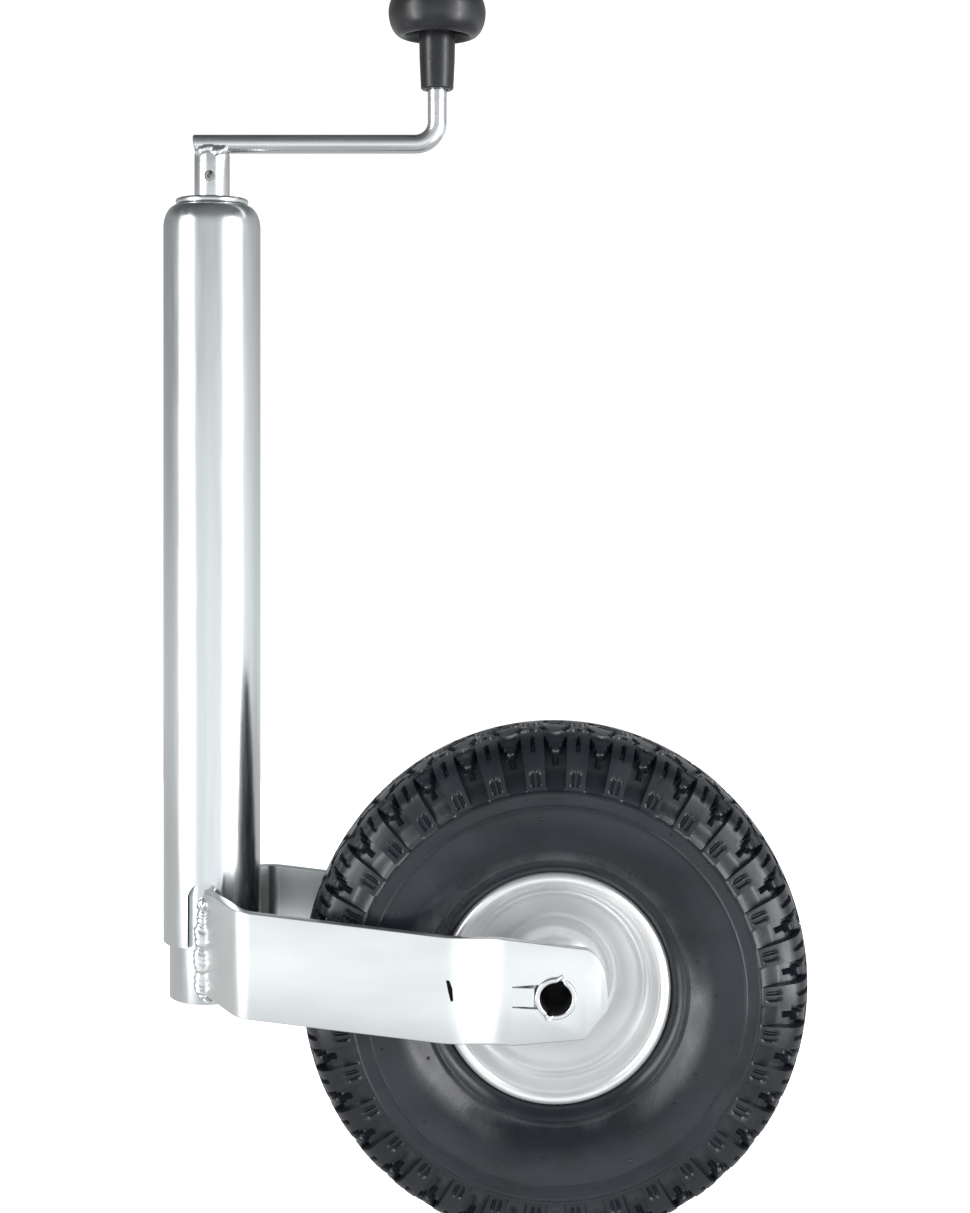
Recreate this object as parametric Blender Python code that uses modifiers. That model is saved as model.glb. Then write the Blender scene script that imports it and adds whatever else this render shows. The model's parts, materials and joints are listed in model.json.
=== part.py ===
"""Trailer tongue jack: a crank screw in a clamped tube, a welded fork and a pneumatic wheel.

The origin is on the outer tube's axis, at the middle of its length, where the drawbar's clamp
grips it. +Z is up, +X points from the tube to the wheel and -Y is the near side. All sizes are
in metres. The jack is modelled fully retracted.
"""

from math import cos, pi, radians, sin, tan

import bmesh
import bpy
from mathutils import Vector

# Clearances
GAP = 0.0003  # between pieces that touch on the real object
SLIDE_GAP = 0.0005  # radial, between the inner and the outer tube

# Outer tube
TUBE_OD = 0.048
TUBE_WALL = 0.0025
TUBE_LENGTH = 0.366
SHOULDER_IN = 0.0068  # how far the rolled top comes in
SHOULDER_HEIGHT = 0.0115
SLOT_DEPTH = 0.033  # from the tube's lower end to the top of the fork slot
SLOT_ROOM = 0.0055  # on each side of the fork arm's root

# Inner tube and screw
INNER_WALL = 0.0025
INNER_TOP_DROP = 0.038  # inner tube's top below the outer tube's top
INNER_SHOWS = 0.0275  # length that shows below the outer tube
TRAVEL = 0.200
SPINDLE_OD = 0.020
SPINDLE_RUNOUT = 0.003  # thread left below the nut at full travel
JOURNAL_OD = 0.014
SHANK_OD = 0.012
NUT_LENGTH = 0.030
NUT_RECESS = 0.002
NUT_PIN_OD = 0.006
NUT_PIN_END = 0.0015  # wall left between a nut pin's hole and the nut's thread
COLLAR_WIDTH = 0.0035  # how far the spindle collar stands out past the thread
COLLAR_HEIGHT = 0.010
COLLAR_PIN_OD = 0.004
THRUST_WASHER = 0.0025
THRUST_RACE = 0.0031

# Crank
CAP_OD = 0.036
CAP_HEIGHT = 0.003
BOSS_OD = 0.0175
BOSS_HEIGHT = 0.0222
BOSS_PIN_OD = 0.0045
BOSS_PIN_WALL = 0.0009
BOSS_PIN_RISE = 0.0104  # pin's axis above the boss's foot
ROD_OD = 0.0095
ROD_BEND = 0.011
CRANK_THROW = 0.1125
ROD_END = 0.0085  # how far the rod runs past the tube's axis

# Knob
KNOB_OD = 0.0486
KNOB_RISE = 0.027  # knob's foot above the crank arm's axis
STEM_LENGTH = 0.037
STEM_TOP_OD = 0.0181
STEM_FOOT_OD = 0.0159
HEAD_HEIGHT = 0.0275
DOME_HEIGHT = 0.0165
SKIRT_THICKNESS = 0.0072
RECESS_DEPTH = 0.0072
CLIP_HEIGHT = 0.002
CLIP_WIDTH = 0.003
CHAMBER_HEIGHT = 0.009

# Fork
ARM_HEIGHT = 0.050
ARM_THICKNESS = 0.005
ARM_SLOPE = radians(7)
ARM_FLARE = radians(56)
ARM_ROOT = 0.0015  # middle of the root's end, past the tube's axis towards the wheel
ARM_BEND = 0.006  # bend radius at the middle of the bar
TYRE_SIDE_ROOM = 0.0065
JOGGLE_START = 0.050  # before the axle
JOGGLE_END = 0.0266
ARM_NOSE = 0.0247  # past the axle
NOSE_TOP = 0.0136  # past the axle, where the upper edge starts to round
NOSE_FOOT = 0.0086  # past the axle, where the lower edge's chamfer starts
NOSE_LOW = 0.0055  # below the axle, where the chamfer meets the nose
AXLE_OD = 0.0195
AXLE_BORE = 0.015
AXLE_STANDS = 0.0016  # past the arm's outer face
AXLE_DROP = 0.0175  # below the outer tube's end
SPACER_LENGTH = 0.0061
SPACER_WALL = 0.0045

# Wheel
TYRE_OD = 0.250
TYRE_WIDTH = 0.085
TYRE_TUBE_ROOM = 0.022  # between the tyre and the outer tube
TREAD_THICKNESS = 0.010
WALL_THICKNESS = 0.006
RIM_OD = 0.115
RIM_WIDTH = 0.057
RIM_SHEET = 0.002
DISC_RING = 0.031  # radius where the two rim halves meet
HUB_OD = 0.034
HUB_LENGTH = 0.060
BUSH_WALL = 0.0022
BUSH_FLANGE = 0.002
BUSH_SLEEVE = 0.018
AIR_TUBE_WALL = 0.002
AIR_TUBE_ROOM = 0.0005
AIR_TUBE_SIDE_ROOM = 0.0055
AIR_TUBE_SPREAD = 1.2  # most that the air tube's section is wider than it is high
AIR_TUBE_FULLNESS = 2.5  # 2 is an ellipse, more fills its corners
VALVE_OD = 0.006
VALVE_CAP_WALL = 0.0014
VALVE_SHOWS = 0.014  # stem past the rim
VALVE_CAP_LENGTH = 0.008
VALVE_ANGLE = radians(35)

# Smoothness: sides of the large, medium and small round pieces
LARGE = 40
MEDIUM = 28
SMALL = 16

# Places that follow from the sizes
TUBE_R = TUBE_OD / 2
TUBE_TOP = TUBE_LENGTH / 2
TUBE_FOOT = -TUBE_LENGTH / 2
INNER_R = TUBE_R - TUBE_WALL - SLIDE_GAP
INNER_TOP = TUBE_TOP - INNER_TOP_DROP
INNER_FOOT = TUBE_FOOT - INNER_SHOWS
AXLE_X = TUBE_R + TYRE_TUBE_ROOM + TYRE_OD / 2
AXLE_Z = TUBE_FOOT - AXLE_DROP
LIP_FOOT = TUBE_TOP - TUBE_WALL
BOSS_FOOT = TUBE_TOP + CAP_HEIGHT + 2 * GAP
BOSS_TOP = BOSS_FOOT + BOSS_HEIGHT
ROD_R = ROD_OD / 2
ARM_AXIS_Z = BOSS_TOP + GAP + ROD_R
KNOB_FOOT = ARM_AXIS_Z + KNOB_RISE
KNOB_TOP = KNOB_FOOT + STEM_LENGTH - RECESS_DEPTH + HEAD_HEIGHT
COLLAR_R = SPINDLE_OD / 2 + COLLAR_WIDTH
NUT_TOP = INNER_TOP - NUT_RECESS
AXLE_R = AXLE_OD / 2
ARM_INNER_Y = TYRE_WIDTH / 2 + TYRE_SIDE_ROOM
ARM_END_Y = HUB_LENGTH / 2 + BUSH_FLANGE + SPACER_LENGTH + 3 * GAP
RIM_R = RIM_OD / 2
RIM_HALF = RIM_WIDTH / 2
HUB_R = HUB_OD / 2
BUSH_BORE = AXLE_R + GAP
HUB_BORE = BUSH_BORE + BUSH_WALL + GAP

# Finishes: colour, metallic, roughness
ZINC = ((0.72, 0.73, 0.74), 1.0, 0.30)
STEEL = ((0.50, 0.50, 0.50), 1.0, 0.35)
BRONZE = ((0.55, 0.36, 0.16), 1.0, 0.35)
BRASS = ((0.70, 0.52, 0.22), 1.0, 0.30)
SILVER = ((0.66, 0.67, 0.69), 0.8, 0.42)
BLACK_PLASTIC = ((0.030, 0.031, 0.035), 0.0, 0.38)
NYLON = ((0.06, 0.06, 0.06), 0.0, 0.5)
RUBBER = ((0.028, 0.030, 0.034), 0.0, 0.62)


def clear_scene():
    for obj in list(bpy.data.objects):
        bpy.data.objects.remove(obj, do_unlink=True)


def make_collection(name):
    collection = bpy.data.collections.new(name)
    bpy.context.scene.collection.children.link(collection)
    return collection


def make_material(name, finish):
    colour, metallic, roughness = finish
    material = bpy.data.materials.new(name)
    material.use_nodes = True
    shader = material.node_tree.nodes["Principled BSDF"]
    shader.inputs["Base Color"].default_value = (*colour, 1.0)
    shader.inputs["Metallic"].default_value = metallic
    shader.inputs["Roughness"].default_value = roughness
    return material


def make_pivot(name, place, parent=None):
    """An empty on a joint's axis, which carries the pieces of the body that the joint moves."""
    pivot = bpy.data.objects.new(name, None)
    PARTS.objects.link(pivot)
    pivot.parent = parent
    pivot.location = Vector(place) - (world_place(parent) if parent else Vector())
    return pivot


def world_place(pivot):
    place = pivot.location.copy()
    while pivot.parent:
        pivot = pivot.parent
        place += pivot.location
    return place


def add_piece(name, data, finish, parent=None, place=(0, 0, 0), turn=(0, 0, 0)):
    """Links a piece at its world place, under its body's pivot, with its own material."""
    piece = bpy.data.objects.new(name, data)
    PARTS.objects.link(piece)
    piece.parent = parent
    piece.location = Vector(place) - (world_place(parent) if parent else Vector())
    piece.rotation_euler = turn
    data.materials.append(make_material(name, finish))
    return piece


def as_cutter(piece):
    PARTS.objects.unlink(piece)
    CUTTERS.objects.link(piece)
    piece.hide_render = True
    piece.display_type = "WIRE"
    return piece


def profile_mesh(name, loop, closed):
    """The edges of a profile in the XZ plane, running clockwise: down its outer side."""
    area = sum(a[0] * b[1] - b[0] * a[1] for a, b in zip(loop, loop[1:] + loop[:1]))
    ordered = loop if area < 0 else loop[::-1]
    count = len(ordered)
    edges = [(i, (i + 1) % count) for i in range(count if closed else count - 1)]
    mesh = bpy.data.meshes.new(name)
    mesh.from_pydata([(r, 0, z) for r, z in ordered], edges, [])
    return mesh


def turned(name, loop, finish, parent=None, place=(0, 0, 0), turn=(0, 0, 0), sides=MEDIUM):
    """A solid of revolution about its own Z. A profile that starts and ends on the axis stays open."""
    on_axis = loop[0][0] == 0 and loop[-1][0] == 0
    piece = add_piece(name, profile_mesh(name, loop, not on_axis), finish, parent, place, turn)
    screw(piece, sides)
    return piece


def screw(piece, sides):
    modifier = piece.modifiers.new("Turn", "SCREW")
    modifier.steps = sides
    modifier.render_steps = sides
    modifier.use_merge_vertices = True
    modifier.merge_threshold = 0.00001


def ring(r_in, r_out, z_low, z_high):
    """The rectangular profile of a plain ring or tube."""
    return [(r_in, z_high), (r_out, z_high), (r_out, z_low), (r_in, z_low)]


def rod_profile(radius, z_low, z_high):
    """The profile of a plain round bar."""
    return [(0, z_high), (radius, z_high), (radius, z_low), (0, z_low)]


def outline_mesh(name, points, half_depth):
    """A mesh from a flat outline in the XY plane, extruded both ways along Z."""
    curve = bpy.data.curves.new(name, "CURVE")
    curve.dimensions = "2D"
    curve.fill_mode = "BOTH"
    curve.extrude = half_depth
    spline = curve.splines.new("POLY")
    spline.points.add(len(points) - 1)
    for point, (x, y) in zip(spline.points, points):
        point.co = (x, y, 0, 1)
    spline.use_cyclic_u = True
    helper = bpy.data.objects.new(name + "_outline", curve)
    bpy.context.scene.collection.objects.link(helper)
    graph = bpy.context.evaluated_depsgraph_get()
    mesh = bpy.data.meshes.new_from_object(helper.evaluated_get(graph))
    bpy.data.objects.remove(helper)
    weld(mesh)
    return mesh


def weld(mesh):
    shape = bmesh.new()
    shape.from_mesh(mesh)
    bmesh.ops.remove_doubles(shape, verts=shape.verts, dist=0.000001)
    bmesh.ops.recalc_face_normals(shape, faces=shape.faces)
    shape.to_mesh(mesh)
    shape.free()


def cut(piece, cutter, operation="DIFFERENCE"):
    modifier = piece.modifiers.new(cutter.name, "BOOLEAN")
    modifier.operation = operation
    modifier.object = cutter


def drill(pieces, name, radius, start, end, sides=SMALL):
    """Cuts a round hole from start to end, in world coordinates, through each of the pieces."""
    start = Vector(start)
    end = Vector(end)
    along = end - start
    turn = along.to_track_quat("Z", "Y").to_euler()
    cutter = turned(name, rod_profile(radius, 0, along.length), STEEL, None, start, turn, sides)
    as_cutter(cutter)
    for piece in pieces:
        cut(piece, cutter)


def arc(centre, radius_x, radius_y, start, end, steps):
    """Points of an elliptical arc, both ends included."""
    angles = [start + (end - start) * i / steps for i in range(steps + 1)]
    return [(centre[0] + radius_x * cos(a), centre[1] + radius_y * sin(a)) for a in angles]


def rounded_path(points, radius, steps=4):
    """The points of a path with every inner corner rounded to one radius."""
    path = [points[0]]
    for before, corner, after in zip(points, points[1:], points[2:]):
        to_before = (Vector(before) - Vector(corner)).normalized()
        to_after = (Vector(after) - Vector(corner)).normalized()
        half = to_before.angle(to_after) / 2
        centre = Vector(corner) + (to_before + to_after).normalized() * radius / sin(half)
        first = (Vector(corner) + to_before * radius / tan(half) - centre).normalized()
        last = (Vector(corner) + to_after * radius / tan(half) - centre).normalized()
        for i in range(steps + 1):
            path.append(tuple(centre + first.slerp(last, i / steps) * radius))
    return path + [points[-1]]


def strip(path, thickness):
    """The closed outline of a strip of even thickness along a path."""
    left = []
    right = []
    for i, point in enumerate(path):
        ahead = Vector(path[min(i + 1, len(path) - 1)]) - Vector(point)
        behind = Vector(point) - Vector(path[max(i - 1, 0)])
        mean = (ahead.normalized() + behind.normalized()).normalized()
        side = Vector((-mean.y, mean.x)) * thickness / 2
        left.append(tuple(Vector(point) + side))
        right.append(tuple(Vector(point) - side))
    return left + right[::-1]


# Pieces of the outer body


def build_outer_tube():
    shoulder = TUBE_TOP - SHOULDER_HEIGHT
    neck = TUBE_R - SHOULDER_IN
    outside = arc((neck, shoulder), SHOULDER_IN, SHOULDER_HEIGHT, pi / 2, 0, 7)
    inside = arc(
        (neck, shoulder), SHOULDER_IN - TUBE_WALL, SHOULDER_HEIGHT - TUBE_WALL, 0, pi / 2, 5
    )
    bore = JOURNAL_OD / 2 + 2 * GAP
    loop = [(bore, TUBE_TOP)] + outside + [(TUBE_R, TUBE_FOOT), (TUBE_R - TUBE_WALL, TUBE_FOOT)]
    tube = turned("outer_tube", loop + inside + [(bore, LIP_FOOT)], ZINC, sides=LARGE)
    cut(tube, build_slot_cutter())
    return tube


def build_slot_cutter():
    """A round-topped slot through the front and the back wall, at the tube's lower end."""
    half = ARM_THICKNESS / sin(ARM_FLARE) / 2 + SLOT_ROOM
    top = arc((0, TUBE_FOOT + SLOT_DEPTH - half), half, half, 0, pi, 10)
    outline = [(half, TUBE_FOOT - TUBE_WALL)] + top + [(-half, TUBE_FOOT - TUBE_WALL)]
    mesh = outline_mesh("slot", outline, TUBE_OD)
    return as_cutter(add_piece("slot_cutter", mesh, STEEL, turn=(pi / 2, 0, 0)))


def build_top_cap():
    edge = CAP_HEIGHT / 2
    z_low = TUBE_TOP + GAP
    rim = arc((CAP_OD / 2 - edge / 2, z_low + edge), edge / 2, edge, pi / 2, -pi / 2, 4)
    bore = JOURNAL_OD / 2 + 2 * GAP
    turned("top_cap", [(bore, z_low + CAP_HEIGHT)] + rim + [(bore, z_low)], ZINC)


def build_thrust_race():
    z_high = LIP_FOOT - GAP
    loop = ring(JOURNAL_OD / 2 + 2 * GAP, COLLAR_R, z_high - THRUST_RACE, z_high)
    turned("thrust_race", loop, STEEL)
    return z_high - THRUST_RACE


# Pieces of the crank body


def build_crank(race_foot):
    crank = make_pivot("crank_pivot", (0, 0, 0))
    washer_top = race_foot - GAP
    collar_top = washer_top - THRUST_WASHER - GAP
    collar_foot = collar_top - COLLAR_HEIGHT
    bore = JOURNAL_OD / 2 + GAP
    turned(
        "thrust_washer", ring(bore, COLLAR_R, washer_top - THRUST_WASHER, washer_top), BRONZE, crank
    )
    collar = turned("spindle_collar", ring(bore, COLLAR_R, collar_foot, collar_top), STEEL, crank)
    spindle = build_spindle(crank, collar_foot - GAP)
    boss = turned(
        "crank_boss", ring(SHANK_OD / 2 + GAP, BOSS_OD / 2, BOSS_FOOT, BOSS_TOP), ZINC, crank
    )
    build_cross_pins(crank, spindle, collar, boss, (collar_foot + collar_top) / 2)
    build_rod(crank)
    return crank


def build_spindle(crank, thread_top):
    """The screw: a threaded bar as a plain one of its outer diameter, a journal and a shank."""
    thread = SPINDLE_OD / 2
    thread_foot = NUT_TOP - NUT_LENGTH - TRAVEL - SPINDLE_RUNOUT
    chamfer = 0.0015
    loop = [
        (0, BOSS_TOP - GAP),
        (SHANK_OD / 2, BOSS_TOP - GAP),
        (SHANK_OD / 2, BOSS_FOOT - GAP),
        (JOURNAL_OD / 2, BOSS_FOOT - GAP),
        (JOURNAL_OD / 2, thread_top),
        (thread, thread_top),
        (thread, thread_foot + chamfer),
        (thread - chamfer, thread_foot),
        (0, thread_foot),
    ]
    return turned("spindle", loop, STEEL, crank)


def build_cross_pins(crank, spindle, collar, boss, collar_z):
    """The slotted spring pin through the boss, and the plain pin through the spindle collar."""
    pin_z = BOSS_FOOT + BOSS_PIN_RISE
    reach = BOSS_OD / 2
    radius = BOSS_PIN_OD / 2
    drill(
        [spindle, boss],
        "boss_pin_hole",
        radius + GAP,
        (0, -2 * reach, pin_z),
        (0, 2 * reach, pin_z),
    )
    opening = radians(25)
    outer = arc((0, 0), radius, radius, opening, 2 * pi - opening, 14)
    bore = radius - BOSS_PIN_WALL
    inner = arc((0, 0), bore, bore, 2 * pi - opening, opening, 14)
    mesh = outline_mesh("boss_spring_pin", outer + inner, reach)
    add_piece("boss_spring_pin", mesh, STEEL, crank, (0, 0, pin_z), (pi / 2, 0, 0))

    radius = COLLAR_PIN_OD / 2
    drill(
        [spindle, collar],
        "collar_pin_hole",
        radius + GAP,
        (-2 * COLLAR_R, 0, collar_z),
        (2 * COLLAR_R, 0, collar_z),
    )
    loop = rod_profile(radius, -COLLAR_R, COLLAR_R)
    turned("collar_pin", loop, STEEL, crank, (0, 0, collar_z), (0, pi / 2, 0), SMALL)


def build_rod(crank):
    """The bent round bar: along the arm, round the bend and up into the knob."""
    centre = (CRANK_THROW - ROD_BEND, ARM_AXIS_Z + ROD_BEND)
    path = [(-ROD_END, ARM_AXIS_Z)]
    path += arc(centre, ROD_BEND, ROD_BEND, -pi / 2, 0, 8)
    path += [(CRANK_THROW, chamber_foot() + CHAMBER_HEIGHT - 2 * CLIP_HEIGHT)]
    curve = bpy.data.curves.new("crank_rod", "CURVE")
    curve.dimensions = "3D"
    curve.bevel_depth = ROD_R
    curve.bevel_resolution = 6
    curve.use_fill_caps = True
    spline = curve.splines.new("POLY")
    spline.points.add(len(path) - 1)
    for point, (x, z) in zip(spline.points, path):
        point.co = (x, 0, z, 1)
    add_piece("crank_rod", curve, ZINC, crank)


def chamber_foot():
    """Height of the shelf inside the knob, which the clip on the rod holds down."""
    return KNOB_TOP - DOME_HEIGHT + GAP


def build_knob_clip(crank):
    z_low = chamber_foot() + GAP
    loop = ring(ROD_R + GAP, ROD_R + CLIP_WIDTH, z_low, z_low + CLIP_HEIGHT)
    turned("knob_clip", loop, STEEL, crank, (CRANK_THROW, 0, 0), sides=SMALL)


def build_knob(crank):
    """A hollow-headed mushroom on a tapered stem, with a blind bore for the rod."""
    pivot = make_pivot("knob_pivot", (CRANK_THROW, 0, KNOB_FOOT), crank)
    bore = ROD_R + GAP
    chamber = ROD_R + CLIP_WIDTH + GAP
    head = KNOB_OD / 2
    widest = KNOB_TOP - DOME_HEIGHT
    skirt_foot = KNOB_TOP - HEAD_HEIGHT
    mouth = head - SKIRT_THICKNESS
    stem_top = STEM_TOP_OD / 2
    stem_foot = STEM_FOOT_OD / 2
    soft = 0.0012
    dome = [(0, KNOB_TOP)] + arc((0, widest), head, DOME_HEIGHT, pi / 2, 0, 8)[1:]
    skirt = arc((mouth, widest), SKIRT_THICKNESS, widest - skirt_foot, 0, -pi / 2, 5)[1:]
    loop = dome + skirt
    loop += [
        (mouth - soft, skirt_foot + soft),
        (mouth - soft, skirt_foot + RECESS_DEPTH),
        (stem_top, skirt_foot + RECESS_DEPTH),
        (stem_foot, KNOB_FOOT + soft),
        (stem_foot - soft, KNOB_FOOT),
        (bore, KNOB_FOOT),
        (bore, chamber_foot()),
        (chamber, chamber_foot()),
        (chamber, chamber_foot() + CHAMBER_HEIGHT),
        (0, chamber_foot() + CHAMBER_HEIGHT),
    ]
    turned("crank_knob", loop, BLACK_PLASTIC, pivot, (CRANK_THROW, 0, 0))


# Pieces of the sliding leg


def build_leg():
    leg = make_pivot("leg_slide", (0, 0, TUBE_FOOT))
    bore = INNER_R - INNER_WALL
    tube = turned("inner_tube", ring(bore, INNER_R, INNER_FOOT, INNER_TOP), ZINC, leg, sides=LARGE)
    nut_foot = NUT_TOP - NUT_LENGTH
    nut = turned(
        "spindle_nut", ring(SPINDLE_OD / 2 + GAP, bore - GAP, nut_foot, NUT_TOP), BRONZE, leg
    )
    build_nut_pins(leg, tube, nut, (nut_foot + NUT_TOP) / 2)
    for side, word in ((-1, "near"), (1, "far")):
        build_arm(leg, side, word)
    stands = ARM_END_Y + ARM_THICKNESS + AXLE_STANDS
    along_y = (pi / 2, 0, 0)
    axle_place = (AXLE_X, 0, AXLE_Z)
    turned(
        "axle_tube", ring(AXLE_BORE / 2, AXLE_R, -stands, stands), ZINC, leg, axle_place, along_y
    )
    for side, word in ((1, "near"), (-1, "far")):
        foot = ARM_END_Y - GAP - SPACER_LENGTH
        ends = sorted((side * foot, side * (foot + SPACER_LENGTH)))
        loop = ring(AXLE_R + GAP, AXLE_R + SPACER_WALL, *ends)
        turned("axle_spacer_" + word, loop, ZINC, leg, axle_place, along_y)
    return leg


def build_nut_pins(leg, tube, nut, z):
    """Two short pins, which hold the nut in the inner tube and end flush with its outside."""
    radius = NUT_PIN_OD / 2
    inner_end = SPINDLE_OD / 2 + NUT_PIN_END
    outer_end = INNER_R - GAP
    for side, word in ((-1, "left"), (1, "right")):
        drill(
            [tube, nut],
            "nut_pin_hole_" + word,
            radius + GAP,
            (side * inner_end, 0, z),
            (side * TUBE_OD, 0, z),
        )
        ends = sorted((side * (inner_end + GAP), side * outer_end))
        loop = rod_profile(radius, *ends)
        turned("nut_pin_" + word, loop, STEEL, leg, (0, 0, z), (0, pi / 2, 0), SMALL)


def build_arm(leg, side, word):
    """A flat bar bent out round the tyre: its plan strip, trimmed to its outline from the side."""
    flat = ARM_THICKNESS / 2
    wide = ARM_INNER_Y + flat
    narrow = ARM_END_Y + flat
    elbow_x = ARM_ROOT + (wide - INNER_R) / tan(ARM_FLARE)
    plan = [
        (ARM_ROOT - flat / tan(ARM_FLARE), side * (INNER_R - flat)),
        (elbow_x, side * wide),
        (AXLE_X - JOGGLE_START, side * wide),
        (AXLE_X - JOGGLE_END, side * narrow),
        (AXLE_X + 2 * ARM_NOSE, side * narrow),
    ]
    mesh = outline_mesh("arm", strip(rounded_path(plan, ARM_BEND), ARM_THICKNESS), ARM_HEIGHT * 2)
    arm = add_piece("fork_arm_" + word, mesh, ZINC, leg, (0, 0, AXLE_Z))
    cut(arm, build_arm_outline(word), "INTERSECT")
    y_in = side * (narrow - ARM_THICKNESS)
    y_out = side * (narrow + ARM_THICKNESS)
    hole_r = AXLE_R + GAP
    drill(
        [arm],
        "axle_hole_" + word,
        hole_r,
        (AXLE_X, y_in, AXLE_Z),
        (AXLE_X, y_out, AXLE_Z),
        MEDIUM,
    )
    drill(
        [arm],
        "root_trim_" + word,
        INNER_R + GAP,
        (0, 0, AXLE_Z - ARM_HEIGHT),
        (0, 0, AXLE_Z + 2 * ARM_HEIGHT),
        LARGE,
    )


def build_arm_outline(word):
    """The bar seen from the side: two sloping edges, a round upper and a straight lower corner."""
    half = ARM_HEIGHT / 2 / cos(ARM_SLOPE)
    slope = tan(ARM_SLOPE)
    root = -TUBE_R
    nose = AXLE_X + ARM_NOSE
    corner_up = AXLE_X + NOSE_TOP
    corner_down = AXLE_X + NOSE_FOOT

    def middle(x):
        return (AXLE_X - x) * slope

    top = middle(corner_up) + half
    outline = [(root, middle(root) + half)]
    outline += arc((corner_up, 0), nose - corner_up, top, pi / 2, 0, 6)
    outline += [(nose, -NOSE_LOW), (corner_down, middle(corner_down) - half)]
    outline += [(root, middle(root) - half)]
    mesh = outline_mesh("arm_side", outline, 2 * ARM_INNER_Y)
    place = (0, 0, AXLE_Z)
    return as_cutter(add_piece("arm_side_" + word, mesh, STEEL, None, place, (pi / 2, 0, 0)))


# Pieces of the wheel, each turned about its own Z and laid along Y


def build_wheel(leg):
    axle = make_pivot("wheel_axle", (AXLE_X, 0, AXLE_Z), leg)
    half = HUB_LENGTH / 2
    wheel_piece("hub_tube", ring(HUB_BORE, HUB_R, -half, half), ZINC, axle)
    for side, word in ((1, "near"), (-1, "far")):
        wheel_piece("hub_bush_" + word, bush_profile(side), NYLON, axle)
    build_rim_half(1, "near", axle)
    far = build_rim_half(-1, "far", axle)
    wheel_piece("tyre", tyre_profile(), RUBBER, axle, LARGE)
    air_tube = build_air_tube(axle)
    build_valve(axle, far, air_tube)


def wheel_piece(name, loop, finish, axle, sides=MEDIUM):
    return turned(name, loop, finish, axle, (AXLE_X, 0, AXLE_Z), (pi / 2, 0, 0), sides)


def bush_profile(side):
    face = HUB_LENGTH / 2 + GAP
    bore = BUSH_BORE
    sleeve = bore + BUSH_WALL
    points = [
        (bore, face + BUSH_FLANGE),
        (HUB_R, face + BUSH_FLANGE),
        (HUB_R, face),
        (sleeve, face),
        (sleeve, face - BUSH_SLEEVE),
        (bore, face - BUSH_SLEEVE),
    ]
    return [(r, side * z) for r, z in points]


def rim_lip():
    """The middle of one rim half's sheet on the +Z side, from its lip to the foot of its seat."""
    return [
        (RIM_R - 0.0002, RIM_HALF - 0.0021),
        (RIM_R - 0.0014, RIM_HALF - 0.0002),
        (RIM_R - 0.0032, RIM_HALF - 0.0002),
        (RIM_R - 0.0048, RIM_HALF - 0.0025),
        (RIM_R - 0.0060, RIM_HALF - 0.0080),
        (RIM_R - 0.0070, RIM_HALF - 0.0110),
        (RIM_R - 0.0087, RIM_HALF - 0.0131),
        (RIM_R - 0.0110, RIM_HALF - 0.0145),
    ]


def rim_disc():
    """The rest of the sheet: from the foot of the cone, over the meeting ring, to the hub."""
    meet = RIM_SHEET / 2 + GAP / 2
    ring_in = DISC_RING - 0.0024
    boss_r = HUB_R + GAP
    boss_low = 0.005
    boss_top = 0.0188
    boss_wide = ring_in - 0.0018 - boss_r
    boss = arc((boss_r, boss_low), boss_wide, boss_top - boss_low, radians(15), pi / 2, 4)
    foot = [(DISC_RING + 0.0022, meet + 0.0006), (DISC_RING, meet), (ring_in, meet)]
    return foot + [(ring_in - 0.0010, meet + 0.0016)] + boss


def build_rim_half(side, word, axle):
    path = [(r, side * z) for r, z in rim_lip() + rim_disc()]
    name = "rim_half_" + word
    mesh = profile_mesh(name, path, False)
    piece = add_piece(name, mesh, SILVER, axle, (AXLE_X, 0, AXLE_Z), (pi / 2, 0, 0))
    screw(piece, MEDIUM)
    shell = piece.modifiers.new("Sheet", "SOLIDIFY")
    shell.thickness = RIM_SHEET
    shell.offset = 0
    shell.use_even_offset = True
    return piece


def tyre_side():
    """Half of the tyre's outside, from the middle of the tread to the bead's toe."""
    span = TYRE_OD / 2 - RIM_R
    half = TYRE_WIDTH / 2
    wall = [
        (1.000, 0.00),
        (0.988, 0.38),
        (0.955, 0.66),
        (0.900, 0.84),
        (0.800, 0.93),
        (0.640, 0.99),
        (0.510, 1.00),
        (0.360, 0.975),
        (0.230, 0.91),
        (0.125, 0.80),
    ]
    bead = [
        (RIM_R + 0.0035, RIM_HALF + 0.0021),
        (RIM_R + 0.0015, RIM_HALF - 0.0009),
        (RIM_R - 0.0003, RIM_HALF - 0.0036),
        (RIM_R - 0.0033, RIM_HALF - 0.0041),
        (RIM_R - 0.0045, RIM_HALF - 0.0095),
        (RIM_R - 0.0049, RIM_HALF - 0.0130),
    ]
    return [(RIM_R + f * span, w * half) for f, w in wall] + bead


def tyre_inside():
    """Half of the tyre's inside, from the bead's toe to the middle of the tread."""
    crown = TYRE_OD / 2 - TREAD_THICKNESS
    wide = TYRE_WIDTH / 2 - WALL_THICKNESS
    middle = (RIM_R + crown) / 2
    return [
        (RIM_R - 0.0035, RIM_HALF - 0.0145),
        (RIM_R + 0.0040, RIM_HALF - 0.0080),
        (RIM_R + 0.0110, wide - 0.0070),
        (middle - 0.0060, wide - 0.0005),
        (middle + 0.0080, wide),
        (crown - 0.0080, wide - 0.0060),
        (crown - 0.0020, wide - 0.0160),
        (crown, 0.0),
    ]


def tyre_profile():
    half = tyre_side() + tyre_inside()
    far = [(r, -z) for r, z in half[::-1] if z > 0]
    return half + far


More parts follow.
